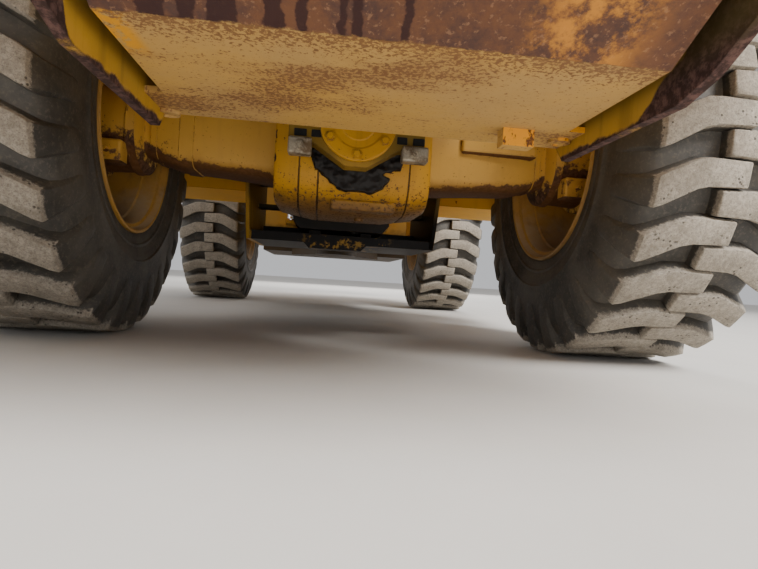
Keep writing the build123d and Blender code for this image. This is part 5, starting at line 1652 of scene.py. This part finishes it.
@dataclass
class Glands(Part):
    """Rings and bands on the cylinders' barrels."""

    def one(self, name: str, base: Point, axis: Point, length: float, radius: float, grow: float) -> Piece:
        """Gland ring at the rod's end and a band near each end of the barrel.

        Args:
            name: The piece's name.
            base: The cylinder's base pin.
            axis: Its line towards the rod.
            length: From the pin to the barrel's end.
            radius: Of the barrel.
            grow: How far the ring stands proud.

        Returns:
            The joined piece.
        """
        line = Vector(axis).normalized()
        turn = Vector((0, 0, 1)).rotation_difference(line).to_matrix().to_4x4()
        outer = radius + grow
        ring = [(length - 0.052, radius - 0.002), (length - 0.050, outer - 0.001), (length - 0.046, outer),
                (length - 0.030, outer), (length - 0.028, outer - 0.002), (length - 0.024, outer - 0.002),
                (length - 0.022, outer), (length - 0.001, outer), (length + 0.004, outer - 0.004),
                (length + 0.004, radius * 0.62), (length - 0.01, radius * 0.62)]
        pieces = [lathed(name, ring, ORIGIN, Turn.UP, 40, closed=True)]
        for spot in (0.16 * length + 0.05, length - 0.085):
            band = [(spot - 0.010, radius - 0.001), (spot - 0.009, radius + 0.003),
                    (spot + 0.009, radius + 0.003), (spot + 0.010, radius - 0.001)]
            pieces.append(lathed("band", band, ORIGIN, Turn.UP, 40, closed=True))
        gland = joined(name, pieces)
        gland.data.transform(Matrix.Translation(base) @ turn)
        return gland

    def build(self) -> None:
        """Builds the glands of the five cylinders."""
        joints = {row["name"]: row for row in frame["joints"]}
        rows = [
            # barrel, rod, from the pin to the barrel's end, radius, how far the gland stands proud
            ("tilt_barrel", "tilt_rod", 0.980, 0.072, 0.006),
        ]
        for side in Side:
            rows.append((f"lift_barrel_{side.word}", f"lift_rod_{side.word}", 0.900, 0.050, 0.005))
            rows.append((f"steer_barrel_{side.word}", f"steer_rod_{side.word}", 0.470, 0.038, 0.004))
        for barrel, slide, length, radius, grow in rows:
            base = joints[barrel + "_turn"]["pos_m"]
            axis = joints[slide + "_slide"]["axis"]
            seated(self.one(barrel + "_gland", base, axis, length, radius, grow), barrel,
                   self.finishes.black)


@dataclass
class PinCaps(Part):
    """Round keeper plates with bolts on the ends of the linkage's pins."""

    def cap(self, name: str, centre: Point, radius: float, turn: Turn, way: int) -> list[Piece]:
        """Plate with its bolts, standing out along the axis.

        Args:
            name: The plate's name.
            centre: Middle of its seat.
            radius: Of the plate.
            turn: The pin's axis.
            way: 1 where it faces along the axis, -1 where it faces against it.

        Returns:
            Plate and bolts.
        """
        line = [(way * -0.001, 0.0), (way * -0.001, radius), (way * 0.006, radius),
                (way * 0.009, radius - 0.004), (way * 0.009, radius * 0.4), (way * 0.012, radius * 0.34),
                (way * 0.012, 0.0)]
        bolt = hex_bolt("keeper", 0.010, 0.008, 0.0)
        seat = Vector(centre) + Vector(turn.value) * way * 0.0088
        plate = lathed(name, line, centre, turn, 36)
        pieces = [plate, *ringed(bolt, tuple(seat), radius * 0.68, 3, turn, way)]
        removed(bolt)
        return pieces

    def build(self) -> None:
        """Builds the caps of each body as one piece."""
        joints = {row["name"]: Vector(row["pos_m"]) for row in frame["joints"] if "pos_m" in row}
        hinge, bucket_pin, lever, top = (joints[name] for name in ("boom_lift", "bucket_tilt", "lever_turn",
                                                                   "link_turn"))
        rows = [
            # body, pin, distance from the middle, radius
            ("front", hinge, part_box("front_frame")[1][0], 0.058),
            ("bucket", bucket_pin, 0.490, 0.058),
            ("boom", lever, 0.060, 0.044),
            ("tilt_lever", top, 0.086, 0.032),
        ]
        for body, pin, reach, radius in rows:
            pieces = []
            for side in (-1, 1):
                pieces += self.cap("keeper_plate", (side * reach, pin.y, pin.z), radius, Turn.ACROSS, side)
            seated(joined(f"pin_caps_{body}", pieces), body, self.finishes.steel)
        pivot = joints["articulation"]
        pieces = self.cap("keeper_plate", (0, pivot.y, 1.011), 0.085, Turn.UP, 1)
        seated(joined("hinge_pin_cap", pieces), "front", self.finishes.steel)


@dataclass
class SeatPads(Part):
    """Sprung seat: sewn cushion and back on their shells, with arm rests.

    Attributes:
        cuts: Faces along each side of a pad's form before it is shaped.
        channels: X of the sewn channels, as shares of the half width.
    """

    cuts: int = 17
    channels: tuple[float, ...] = (-0.52, 0.52)

    def pad(self, name: str, half: Point, crown: float) -> Piece:
        """Crowned closed pad about the origin, its sides drawn in between the corners.

        Args:
            name: The piece's name.
            half: Half its width, depth and thickness.
            crown: How far the middle of its top stands up.

        Returns:
            The pad, top towards +Z.
        """
        bpy.ops.object.select_all(action="DESELECT")
        bpy.ops.mesh.primitive_cube_add(size=2.0)
        pad = bpy.context.object
        pad.name = name
        bpy.ops.object.mode_set(mode="EDIT")
        bpy.ops.mesh.select_all(action="SELECT")
        bpy.ops.mesh.subdivide(number_cuts=self.cuts)
        shape = bmesh.from_edit_mesh(pad.data)
        for vertex in shape.verts:
            x, y, z = vertex.co
            power = 7.0
            swell = (abs(x) ** power + abs(y) ** power + abs(z) ** power) ** (-1.0 / power)
            x, y, z = (value * swell for value in (x, y, z))
            bow = (1 - x * x) * (1 - y * y)
            draw = 1.0 - 0.035 * (1 - abs(z))
            lift = crown * bow if z > 0 else 0.0
            for channel in self.channels:
                near = max(0.0, 1.0 - abs(x - channel) / 0.075)
                lift -= 0.011 * near * near if z > 0 else 0.0
            across = max(0.0, 1.0 - abs(y - 0.30) / 0.06)
            lift -= 0.008 * across * across if z > 0 and abs(x) < 0.52 else 0.0
            side = 1.0 - 0.030 * (1 - y * y) * (1 - z * z)
            vertex.co = (x * half[0] * draw * side, y * half[1] * draw, z * half[2] + lift)
        bmesh.update_edit_mesh(pad.data)
        bpy.ops.mesh.normals_make_consistent(inside=False)
        bpy.ops.object.mode_set(mode="OBJECT")
        choose(pad)
        finer = pad.modifiers.new("finer", "SUBSURF")
        finer.levels = finer.render_levels = 1
        bpy.ops.object.modifier_apply(modifier=finer.name)
        return smooth(pad, 80.0)

    def build(self) -> None:
        """Builds cushion, back, shells and arm rests in the seat node's place."""
        low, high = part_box("seat")
        deck = low[2]
        cushion = self.pad("seat_cushion", (0.245, 0.215, 0.058), 0.014)
        cushion.data.transform(Matrix.Translation((0, high[1] - 0.222, deck + 0.064)))
        seated(cushion, "rear", self.finishes.cloth)
        back = self.pad("seat_back", (0.225, 0.300, 0.050), 0.014)
        lean = Matrix.Rotation(math.radians(96.0), 4, "X")
        back.data.transform(Matrix.Translation((0, low[1] + 0.085, deck + 0.430)) @ lean)
        seated(back, "rear", self.finishes.cloth, ("seat",))
        shells = [block("pan", (-0.235, low[1] + 0.10, deck), (0.235, high[1] - 0.03, deck + 0.022), 0.008)]
        rise = swept("rise", [[(x, low[1] + 0.085, deck + 0.02), (x, low[1] + 0.115, deck + 0.02),
                               (x, low[1] + 0.045, deck + 0.70), (x, low[1] + 0.020, deck + 0.70)]
                              for x in (-0.20, 0.20)])
        shells.append(rounded(rise, 0.008))
        for side in (-1, 1):
            near, far = side * 0.228, side * 0.248
            shells += [block("arm", (near, low[1] + 0.075, deck + 0.155), (far, high[1] - 0.18, deck + 0.190),
                             0.009, 3), block("post", (near, low[1] + 0.10, deck + 0.01),
                                              (far, low[1] + 0.135, deck + 0.165), 0.006)]
        seated(joined("seat_shells", shells), "rear", self.finishes.plastic)


@dataclass
class Controls(Part):
    """Steering wheel on its column, gauge hood and the console with its levers.

    Attributes:
        wheel_radius: To the middle of the wheel's rim.
        grip: Radius of the rim itself.
    """

    wheel_radius: float = 0.192
    grip: float = 0.013

    def wheel(self, centre: Point, lean: Matrix) -> list[Piece]:
        """Rim, hub and three spokes, square to the column.

        Args:
            centre: Middle of the wheel.
            lean: Turn from upright to the column's line.

        Returns:
            The parts.
        """
        ring = [(self.grip * math.sin(math.radians(30 * n)),
                 self.wheel_radius + self.grip * math.cos(math.radians(30 * n))) for n in range(12)]
        rim = lathed("rim", ring, ORIGIN, Turn.UP, 48, 60.0, closed=True)
        boss = [(-0.030, 0.0), (-0.030, 0.034), (0.004, 0.046), (0.014, 0.040), (0.018, 0.0)]
        hub = lathed("hub", boss, ORIGIN, Turn.UP, 32)
        pieces = [rim, hub]
        for number in range(3):
            spoke = block("spoke", (-0.012, 0.038, -0.006), (0.012, self.wheel_radius, 0.002), 0.003)
            spoke.data.transform(Matrix.Rotation(2 * math.pi * number / 3, 4, "Z"))
            pieces.append(spoke)
        for piece in pieces:
            piece.data.transform(Matrix.Translation(centre) @ lean)
        return pieces

    def column(self) -> None:
        """Column, pedestal, gauge hood and wheel."""
        low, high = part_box("steering_column")
        floor = low[2]
        front = high[1] + 0.160
        outline = [(front - 0.330, floor), (front - 0.160, floor), (front - 0.330, floor + 0.700),
                   (front - 0.420, floor + 0.660)]
        pieces = [rounded(swept("pedestal", [[(x, y, z) for y, z in outline] for x in (-0.070, 0.070)]),
                          0.016, 3)]
        line = Vector((0, -0.070, 0.150)).normalized()
        foot = Vector((0, front - 0.400, floor + 0.640))
        centre = foot + line * 0.158
        pieces.append(rod("stem", tuple(foot), tuple(centre), 0.022, 24))
        pieces.append(rod("boot", tuple(foot), tuple(foot + line * 0.06), 0.042, 28, 0.012))
        lean = Vector((0, 0, 1)).rotation_difference(line).to_matrix().to_4x4()
        pieces += self.wheel(tuple(centre), lean)
        pieces.append(rod("stalk", (0.02, foot.y - 0.02, foot.z + 0.05),
                          (0.150, foot.y - 0.03, foot.z + 0.085), 0.006, 12))
        hood = block("hood", (-0.125, front - 0.395, floor + 0.640), (0.125, front - 0.300, floor + 0.755),
                     0.022, 3)
        pieces.append(hood)
        seated(joined("steering_controls", pieces), "rear", self.finishes.plastic,
               ("steering_column",))

    def console(self) -> None:
        """Side console with an arm pad, three levers on boots and their knobs."""
        low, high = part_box("console")
        top = high[2] - 0.140
        pieces = [block("chest", low, (high[0], high[1], top - 0.02), 0.018, 3),
                  block("rest", (low[0] + 0.03, low[1] + 0.03, top - 0.03),
                        (high[0] - 0.03, low[1] + 0.30, top + 0.022), 0.020, 4)]
        for number in range(3):
            x = low[0] + 0.070 * (number + 1)
            y = high[1] - 0.090
            boot = [(-0.022, 0.0), (-0.022, 0.030), (-0.010, 0.027), (-0.006, 0.020), (0.000, 0.022),
                    (0.006, 0.014), (0.012, 0.010), (0.012, 0.0)]
            pieces.append(lathed("boot", boot, (x, y, top), Turn.UP, 24))
            pieces.append(rod("lever", (x, y, top), (x, y, high[2] - 0.035), 0.006, 14))
            ball = [(0.0, 0.0), (0.004, 0.010), (0.016, 0.0165), (0.028, 0.0165), (0.036, 0.010),
                    (0.0395, 0.0)]
            pieces.append(lathed("knob", ball, (x, y, high[2] - 0.040), Turn.UP, 24, 60.0))
        seated(joined("lever_console", pieces), "rear", self.finishes.plastic, ("console",))

    def build(self) -> None:
        """Builds column and console."""
        self.column()
        self.console()


@dataclass
class Lamps(Part):
    """Lenses in the lamp housings."""

    def lens(self, x: float, y: float, way: int, half: float, low: float, high: float) -> Piece:
        """Ribbed pane that closes a lamp's recess.

        Args:
            x: Middle.
            y: Face of the housing.
            way: 1 where the lamp looks forward, -1 back.
            half: Half width of the recess.
            low: Its bottom.
            high: Its top.

        Returns:
            The pane.
        """
        rib_count = 9
        pitch = 2 * half / rib_count
        pieces = [block("pane", (x - half, y - way * 0.008, low), (x + half, y - way * 0.002, high), 0.002)]
        for number in range(rib_count):
            middle_x = x - half + pitch * (number + 0.5)
            bead = [(0.0, 0.0), (0.0, pitch * 0.40), (high - low - 0.012, pitch * 0.40),
                    (high - low - 0.012, 0.0)]
            rib = spun("rib", bead, ORIGIN, Turn.UP, 10)
            rib.data.transform(Matrix.Translation((middle_x, y - way * 0.004, low + 0.006))
                               @ Matrix.Diagonal((1.0, 0.5, 1.0, 1.0)))
            pieces.append(rib)
        return smooth(joined("lens", pieces), 40.0)

    def build(self) -> None:
        """Builds the white lenses of the work and head lamps and the red ones at the tail."""
        low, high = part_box("work_lamps")
        head_face, head_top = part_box("head_lamps")[1][1:]
        _, roof_back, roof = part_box("cab_roof")[0]
        clear, red, head = [], [], []
        for side in (-1, 1):
            for face, way in ((high[1], 1), (roof_back - 0.0453, -1)):
                clear.append(self.lens(side * 0.400, face, way, 0.0725, roof + 0.0205, roof + 0.0655))
            red.append(self.lens(side * 0.830, low[1], -1, 0.0825, low[2] + 0.0105, low[2] + 0.0995))
            head.append(self.lens(side * 0.620, head_face, 1, 0.0805, head_top - 0.1255, head_top - 0.0145))
        seated(joined("work_lamp_lenses", clear), "rear", self.finishes.lens)
        seated(joined("tail_lamp_lenses", red), "rear", self.finishes.red)
        seated(joined("head_lamp_lenses", head), "front", self.finishes.lens)


@dataclass
class Mirrors(Part):
    """Rounded mirror shells on bent arms, with their glass.

    Attributes:
        reach: X of a mirror's middle.
        half: Half a mirror's width.
    """

    reach: float = 0.960
    half: float = 0.095

    def build(self) -> None:
        """Builds both mirrors in place of their node."""
        low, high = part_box("mirrors")
        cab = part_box("cab_shell")[1][0]
        shells, glass = [], []
        level = high[2] - 0.170
        back = high[1] - 0.044
        for side in (-1, 1):
            x = side * self.reach
            shells.append(block("plate", (side * (cab + 0.0003), low[1] + 0.001, level - 0.05),
                                (side * (cab + 0.0123), low[1] + 0.039, level + 0.05), 0.004))
            start = (side * (cab + 0.010), low[1] + 0.020, level)
            elbow = (side * (cab + 0.150), low[1] + 0.030, level + 0.030)
            end = (x, back + 0.030, level)
            shells += [rod("arm", start, elbow, 0.012, 16, 0.004), rod("arm", elbow, end, 0.012, 16, 0.004)]
            left, right = x - self.half, x + self.half
            shells += [block("case", (left, back + 0.006, level - 0.190), (right, high[1], level + 0.170),
                             0.018, 4), block("rim", (left, back, level - 0.190),
                                              (right, back + 0.014, level + 0.170), 0.005, 3)]
            glass.append(block("glass", (left + 0.011, back - 0.0012, level - 0.179),
                               (right - 0.011, back + 0.002, level + 0.159), 0.001, 1))
        seated(joined("mirror_shells", shells), "rear", self.finishes.plastic, ("mirrors",))
        seated(joined("mirror_glass", glass), "rear", self.finishes.mirror)


@dataclass
class CabTrim(Part):
    """Rubber round the windows, wipers, roof hatch, gutters and door lock.

    Attributes:
        sill: Bottom of the side windows.
        rear_sill: Bottom of the rear window.
        front_sill: Bottom of the windscreen.
        window_top: Top of every window.
        knee: Height where the windscreen starts to lean.
        lean: How far it goes back for each unit of height.
        jamb: From the cab's side to the opening of the end windows.
        width: Width of the rubber.
        lap: How far the rubber laps past an opening.
        inset: How deep it sits in the wall.
        proud: How far it stands out of the wall.
        rounding: Of the rubber's edges.
    """

    sill: float = 1.560
    rear_sill: float = 2.150
    front_sill: float = 1.600
    window_top: float = 2.980
    knee: float = 1.860
    lean: float = 0.060 / 1.220
    jamb: float = 0.080
    width: float = 0.020
    lap: float = 0.008
    inset: float = 0.012
    proud: float = 0.004
    rounding: float = 0.003

    def strip_frame(self, low: Point, high: Point, width: float) -> list[Piece]:
        """Rubber round a window that is square to X or Y, whichever is thinner.

        Args:
            low: Low corner of the frame.
            high: Its high corner.
            width: Of each bar.

        Returns:
            The four bars.
        """
        thin = 0 if high[0] - low[0] < high[1] - low[1] else 1
        along = 1 - thin
        bars = []
        for far in (False, True):
            for axis in (2, along):
                start, end = list(low), list(high)
                if far:
                    start[axis] = high[axis] - width
                else:
                    end[axis] = low[axis] + width
                bars.append(block("bar", start, end, self.rounding))
        return bars

    def gaskets(self) -> None:
        """Rubber round the side, rear and front windows."""
        (_, rear, _), (half, front, _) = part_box("cab_shell")
        inner = half - self.jamb
        rows = [
            # axis that the window is square to, way out, low and high corner of the opening
            (0, 1, (half, rear + 0.120, self.sill), (half, rear + 0.900, self.window_top)),
            (0, 1, (half, rear + 0.970, self.sill), (half, front - 0.120, self.window_top)),
            (0, -1, (-half, rear + 0.970, self.sill), (-half, front - 0.120, self.window_top)),
            (1, -1, (-inner, rear, self.rear_sill), (inner, rear, self.window_top)),
        ]
        bars = []
        for thin, way, start, end in rows:
            first = [value - self.lap for value in start]
            last = [value + self.lap for value in end]
            first[thin], last[thin] = sorted((start[thin] - way * self.inset, start[thin] + way * self.proud))
            bars += self.strip_frame(tuple(first), tuple(last), self.width)
        bars += self.windscreen(front, inner)
        seated(joined("window_rubber", bars), "rear", self.finishes.plastic)

    def windscreen(self, front: float, half: float) -> list[Piece]:
        """Rubber round the windscreen, which leans back above its knee.

        Args:
            front: Y of the cab's face at the knee.
            half: Half the opening's width.

        Returns:
            The four bars.
        """
        outer = half + self.lap
        foot, top = self.front_sill - self.lap, self.window_top + self.lap

        def section(x: float, far: float, z: float) -> list[Point]:
            """Corners of a level cut through an upright bar."""
            y = front - self.lean * max(0.0, z - self.knee)
            back, face = y - self.inset, y + self.proud
            return [(x, back, z), (far, back, z), (far, face, z), (x, face, z)]

        bars = []
        for side in (-1, 1):
            near, far = sorted((side * (outer - self.width), side * outer))
            bars.append(swept("bar", [section(near, far, z) for z in (foot, self.knee, top)]))
        for low, high in ((foot, foot + self.width), (top - self.width, top)):
            bars.append(swept("bar", [section(-outer, outer, z) for z in (low, high)]))
        return [rounded(bar, self.rounding) for bar in bars]

    def wipers(self) -> None:
        """Arm and blade on the rear window and on the windscreen."""
        low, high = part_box("cab_shell")
        rows = [
            # cab's face, way out, foot and tip of the arm as X and Z, half the blade's length
            (low[1], -1, (-0.05, 2.095), (0.22, 2.74), 0.24),
            (high[1], 1, (0.10, 1.580), (0.34, 1.83), 0.11),
        ]
        pieces = []
        for y, way, foot, tip, reach in rows:
            out = y + way * 0.012
            pieces.append(rod("pivot", (foot[0], y - way * 0.002, foot[1]),
                              (foot[0], y + way * 0.020, foot[1]), 0.016, 20))
            pieces.append(rod("arm", (foot[0], out, foot[1]), (tip[0], out, tip[1]), 0.0055, 12))
            line = Vector((tip[0] - foot[0], 0, tip[1] - foot[1])).normalized()
            blade = Vector((tip[0], out - way * 0.006, tip[1]))
            for part, radius in ((1.0, 0.004), (0.96, 0.0065)):
                half = line * reach * part
                pieces.append(rod("blade", tuple(blade - half), tuple(blade + half), radius, 10))
        seated(joined("wipers", pieces), "rear", self.finishes.plastic)

    def roof(self) -> None:
        """Hatch with its handle, and gutters along the roof."""
        low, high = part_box("cab_roof")
        y = (low[1] + high[1]) / 2
        pieces = [block("hatch", (-0.30, y - 0.28, high[2] - 0.004), (0.30, y + 0.28, high[2] + 0.020), 0.010,
                        3), block("handle", (-0.06, y - 0.262, high[2] + 0.018),
                                  (0.06, y - 0.235, high[2] + 0.034), 0.005)]
        for side in (-1, 1):
            pieces.append(block("gutter", (side * (high[0] - 0.004), low[1] + 0.12, low[2] + 0.012),
                                (side * (high[0] + 0.012), high[1] - 0.12, low[2] + 0.034), 0.004))
        seated(joined("roof_hatch_and_gutters", pieces), "rear", self.finishes.body)

    def door(self) -> None:
        """Lock and window rubber on the cab's door."""
        latch_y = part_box("cab_door")[1][1] - 0.034
        glass_low, glass_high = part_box("door_glass")
        face = -0.660
        pieces = self.strip_frame((face - 0.004, glass_low[1] - 0.010, glass_low[2] - 0.010),
                                  (face + 0.012, glass_high[1] + 0.010, glass_high[2] + 0.010), 0.022)
        pieces.append(rod("lock", (face + 0.002, latch_y, 1.660), (face - 0.010, latch_y, 1.660), 0.014, 20))
        seated(joined("door_rubber_and_lock", pieces), "cab_door", self.finishes.plastic)

    def build(self) -> None:
        """Builds the cab's trim."""
        self.gaskets()
        self.wipers()
        self.roof()
        self.door()


@dataclass
class BodyTrim(Part):
    """Latches, caps, treads, bolts and reflectors on the body.

    Attributes:
        latch: Parts of an engine door's latch.
        step_levels: Heights of the ladder's steps.
        tow_reach: From the counterweight's back to the tow pin.
    """

    latch: tuple[tuple, ...] = (
        # name, X of its inner and outer face, half length, bottom and top over the door's foot, rounding
        ("plate", 0.522, 0.528, 0.045, 0.030, 0.100, 0.002),
        ("grip", 0.526, 0.540, 0.008, 0.036, 0.094, 0.004),
    )
    step_levels: tuple[float, ...] = (0.450, 0.780, 1.030)
    tow_reach: float = 0.080

    def treads(self) -> None:
        """Raised ridges on the ladder's steps."""
        low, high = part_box("steps")
        pieces = []
        for side in (-1, 1):
            for level in self.step_levels:
                for number in range(5):
                    x = high[0] - 0.118 + 0.024 * number
                    pieces.append(block("ridge", (side * x, low[1] + 0.02, level - 0.001),
                                        (side * (x + 0.010), high[1] - 0.02, level + 0.006), 0.002, 1))
        seated(joined("step_treads", pieces), "rear", self.finishes.black)

    def doors(self) -> None:
        """Two latches low on each engine door."""
        for side in Side:
            name = f"engine_door_{side.word}"
            low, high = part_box(name)
            pieces = []
            for y in (low[1] + 0.16, high[1] - 0.16):
                for part, near, far, half, foot, top, width in self.latch:
                    pieces.append(block(part, (side.value * near, y - half, low[2] + foot),
                                        (side.value * far, y + half, low[2] + top), width))
            seated(joined(name + "_latches", pieces), name, self.finishes.steel)

    def tanks(self) -> None:
        """Filler cap with its lug on the left tank, straps, and the battery lid on the right one."""
        low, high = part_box("side_tanks")
        y = (low[1] + high[1]) / 2
        cap = [(-0.002, 0.0), (-0.002, 0.062), (0.014, 0.062), (0.016, 0.056), (0.018, 0.056), (0.040, 0.056),
               (0.046, 0.050), (0.048, 0.0)]
        pieces = [lathed("cap", cap, (-0.620, y - 0.09, high[2]), Turn.UP, 40),
                  block("lug", (-0.630, y - 0.135, high[2] + 0.045), (-0.610, y - 0.045, high[2] + 0.060),
                        0.004)]
        lid = block("lid", (0.560, y - 0.20, high[2] - 0.002), (1.00, y + 0.10, high[2] + 0.022), 0.008)
        pieces.append(lid)
        seated(joined("tank_caps", pieces), "rear", self.finishes.black)
        bands = []
        for side in (-1, 1):
            for spot in (low[1] + 0.075, high[1] - 0.075):
                bands.append(block("band", (side * (high[0] - 0.003), spot - 0.010, low[2] + 0.01),
                                   (side * (high[0] + 0.006), spot + 0.010, high[2] - 0.01), 0.002))
        seated(joined("tank_seams", bands), "rear", self.finishes.tank)

    def weight(self) -> None:
        """Bolts and blank reflectors on the counterweight, and the tow pin."""
        low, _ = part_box("counterweight")
        places = [facing_back(x, low[1], 1.36) for x in (-0.36, -0.24, 0.24, 0.36)]
        pieces = bolts(0.024, 0.018, 0.010, places)
        tow_low, tow_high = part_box("tow_hitch")
        pin = [(tow_low[2] - 0.030, 0.0), (tow_low[2] - 0.026, 0.020), (tow_low[2] - 0.02, 0.0242),
               (tow_high[2], 0.0242), (tow_high[2] + 0.0005, 0.036), (tow_high[2] + 0.014, 0.036),
               (tow_high[2] + 0.016, 0.010), (tow_high[2] + 0.060, 0.010), (tow_high[2] + 0.062, 0.0)]
        pieces.append(lathed("tow_pin", pin, (0, low[1] - self.tow_reach, 0), Turn.UP, 32))
        seated(joined("counterweight_bolts", pieces), "rear", self.finishes.steel)
        plates = []
        for side in (-1, 1):
            plates.append(block("reflector", (side * 0.560, low[1] - 0.004, 1.262),
                                (side * 0.690, low[1] + 0.001, 1.338), 0.002))
        seated(joined("tail_reflectors", plates), "rear", self.finishes.red)

    def bucket(self) -> None:
        """Wear strips under the bucket's floor."""
        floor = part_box("bucket")[0][2]
        pieces = []
        for x in (-1.05, -0.63, -0.21, 0.21, 0.63, 1.05):
            pieces.append(block("strip", (x - 0.05, 2.985, floor - 0.012), (x + 0.05, 3.560, floor + 0.002),
                                0.004))
        seated(joined("bucket_wear_strips", pieces), "bucket", self.finishes.steel)

    def hood(self) -> None:
        """Screws round the grille and seam strips on the hood."""
        low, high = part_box("hood")
        grille_low, grille_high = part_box("rear_grille")
        places = [facing_back(x, grille_low[1], z) for x in (-0.434, -0.145, 0.145, 0.434)
                  for z in (grille_low[2] + 0.015, grille_high[2] - 0.015)]
        pieces = bolts(0.009, 0.006, 0.0, places)
        for y in (low[1] + 0.52, low[1] + 1.30):
            pieces.append(block("seam", (low[0] + 0.03, y - 0.012, high[2] - 0.002),
                                (high[0] - 0.03, y + 0.012, high[2] + 0.004), 0.002))
        seated(joined("hood_fastenings", pieces), "rear", self.finishes.black)

    def build(self) -> None:
        """Builds the body's trim."""
        self.treads()
        self.doors()
        self.tanks()
        self.weight()
        self.bucket()
        self.hood()


@dataclass
class Stage:
    """Floor, light and the camera at the photograph's place.

    Attributes:
        lens: Focal length in millimetres on a 36 mm wide sensor.
        behind: How far the camera stands behind the rear axle.
        aside: Its X.
        height: Its height over the floor.
        pitch: Its tilt down, in radians.
        roll: Its turn about the line of sight.
        yaw: Its turn to the right.
    """

    lens: float = 25.21
    behind: float = 1.9461
    aside: float = -0.0822
    height: float = 0.2321
    pitch: float = 0.0070
    roll: float = 0.0608
    yaw: float = 0.1081

    def camera(self) -> None:
        """Sets the camera by its three turns."""
        data = bpy.data.cameras.new("view")
        data.lens = self.lens
        data.sensor_width = 36.0
        data.clip_start = 0.02
        camera = bpy.data.objects.new("view", data)
        bpy.context.scene.collection.objects.link(camera)
        level = Vector((math.cos(self.yaw), -math.sin(self.yaw), 0.0))
        ahead = Vector((math.sin(self.yaw) * math.cos(self.pitch), math.cos(self.yaw) * math.cos(self.pitch),
                        -math.sin(self.pitch)))
        top = level.cross(ahead)
        right = level * math.cos(self.roll) + top * math.sin(self.roll)
        up = top * math.cos(self.roll) - level * math.sin(self.roll)
        turn = Matrix((right, up, -ahead)).transposed().to_4x4()
        place = (self.aside, axle_middle("rear").y - self.behind, self.height)
        camera.matrix_world = Matrix.Translation(place) @ turn
        bpy.context.scene.camera = camera

    def floor(self) -> None:
        """Lays the pale floor."""
        bpy.ops.object.select_all(action="DESELECT")
        bpy.ops.mesh.primitive_plane_add(size=160.0, location=(0, 0, 0))
        floor = bpy.context.object
        floor.name = "floor"
        material, board, shader = new_material("pale_floor")
        place = board.place()
        tone = board.mix(board.noise(place, 3.0, 6.0, 0.6), (0.56, 0.53, 0.485, 1), (0.64, 0.61, 0.565, 1))
        board.feed(shader, {"Base Color": tone, "Roughness": 0.85})
        floor.data.materials.append(material)

    def lamp(self, name: str, place: Point, aim: Point, size: float, power: float) -> None:
        """Hangs one soft square light.

        Args:
            name: The light's name.
            place: Where it hangs.
            aim: The point that it faces.
            size: Its side.
            power: In watts.
        """
        data = bpy.data.lights.new(name, "AREA")
        data.shape = "SQUARE"
        data.size = size
        data.energy = power
        lamp = bpy.data.objects.new(name, data)
        lamp.location = place
        lamp.rotation_euler = (Vector(aim) - Vector(place)).to_track_quat("-Z", "Y").to_euler()
        bpy.context.scene.collection.objects.link(lamp)

    def light(self) -> None:
        """Lights the scene softly from all round, with a little more from behind and the right."""
        world = bpy.data.worlds.new("studio")
        world.use_nodes = True
        world.node_tree.nodes["Background"].inputs["Color"].default_value = (0.96, 0.97, 1.0, 1.0)
        world.node_tree.nodes["Background"].inputs["Strength"].default_value = 0.62
        bpy.context.scene.world = world
        self.lamp("key", (5.5, -9.0, 7.5), (0.8, -1.8, 0.6), 5.0, 2950.0)
        self.lamp("fill", (-8.0, -5.0, 4.0), (0, -1.0, 0.8), 6.0, 260.0)
        self.lamp("front", (2.0, 11.0, 6.0), (0, 0.5, 0.8), 6.0, 1100.0)
        self.lamp("low", (0.5, -6.4, 0.7), (0, -2.0, 0.7), 1.6, 20.0)

    def build(self) -> None:
        """Sets camera, floor and lights."""
        self.camera()
        self.floor()
        self.light()


def dress_nodes(finishes: Finishes) -> None:
    """Gives each CAD node that stays its finish.

    Args:
        finishes: The loader's finishes.
    """
    by_slot = {"yellow_paint": finishes.body, "black_steel": finishes.black, "worn_steel": finishes.steel,
               "chrome_rod": finishes.chrome, "tyre_rubber": finishes.tyre, "black_plastic": finishes.plastic,
               "seat_cover": finishes.cloth, "window": finishes.glass}
    special = {"rear_frame": finishes.plate, "front_frame": finishes.frame, "belly_guard": finishes.belly,
               "rear_axle": finishes.axle, "front_axle": finishes.front_axle, "side_tanks": finishes.tank,
               "bucket": finishes.bucket}
    slots = {part["node"]: part["material_slot"] for part in frame["record"]["subparts"]}
    for name, node in frame["nodes"].items():
        finish = special.get(name) or by_slot[slots[name]]
        node.data.materials.clear()
        node.data.materials.append(finish)


def main() -> None:
    """Builds the scene's pieces in order."""
    logging.basicConfig(level=logging.INFO, format="%(message)s")
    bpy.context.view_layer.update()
    Stage().build()
    finishes = Finishes()
    dress_nodes(finishes)
    Wheels(finishes).build()
    for end in ("rear", "front"):
        AxleHousing(finishes, end).build()
    for part in (HangerDress, Belly, BucketEdge, Glands, PinCaps, SeatPads, Controls, Lamps, Mirrors, CabTrim,
                 BodyTrim):
        part(finishes).build()


if __name__ == "__main__":
    main()
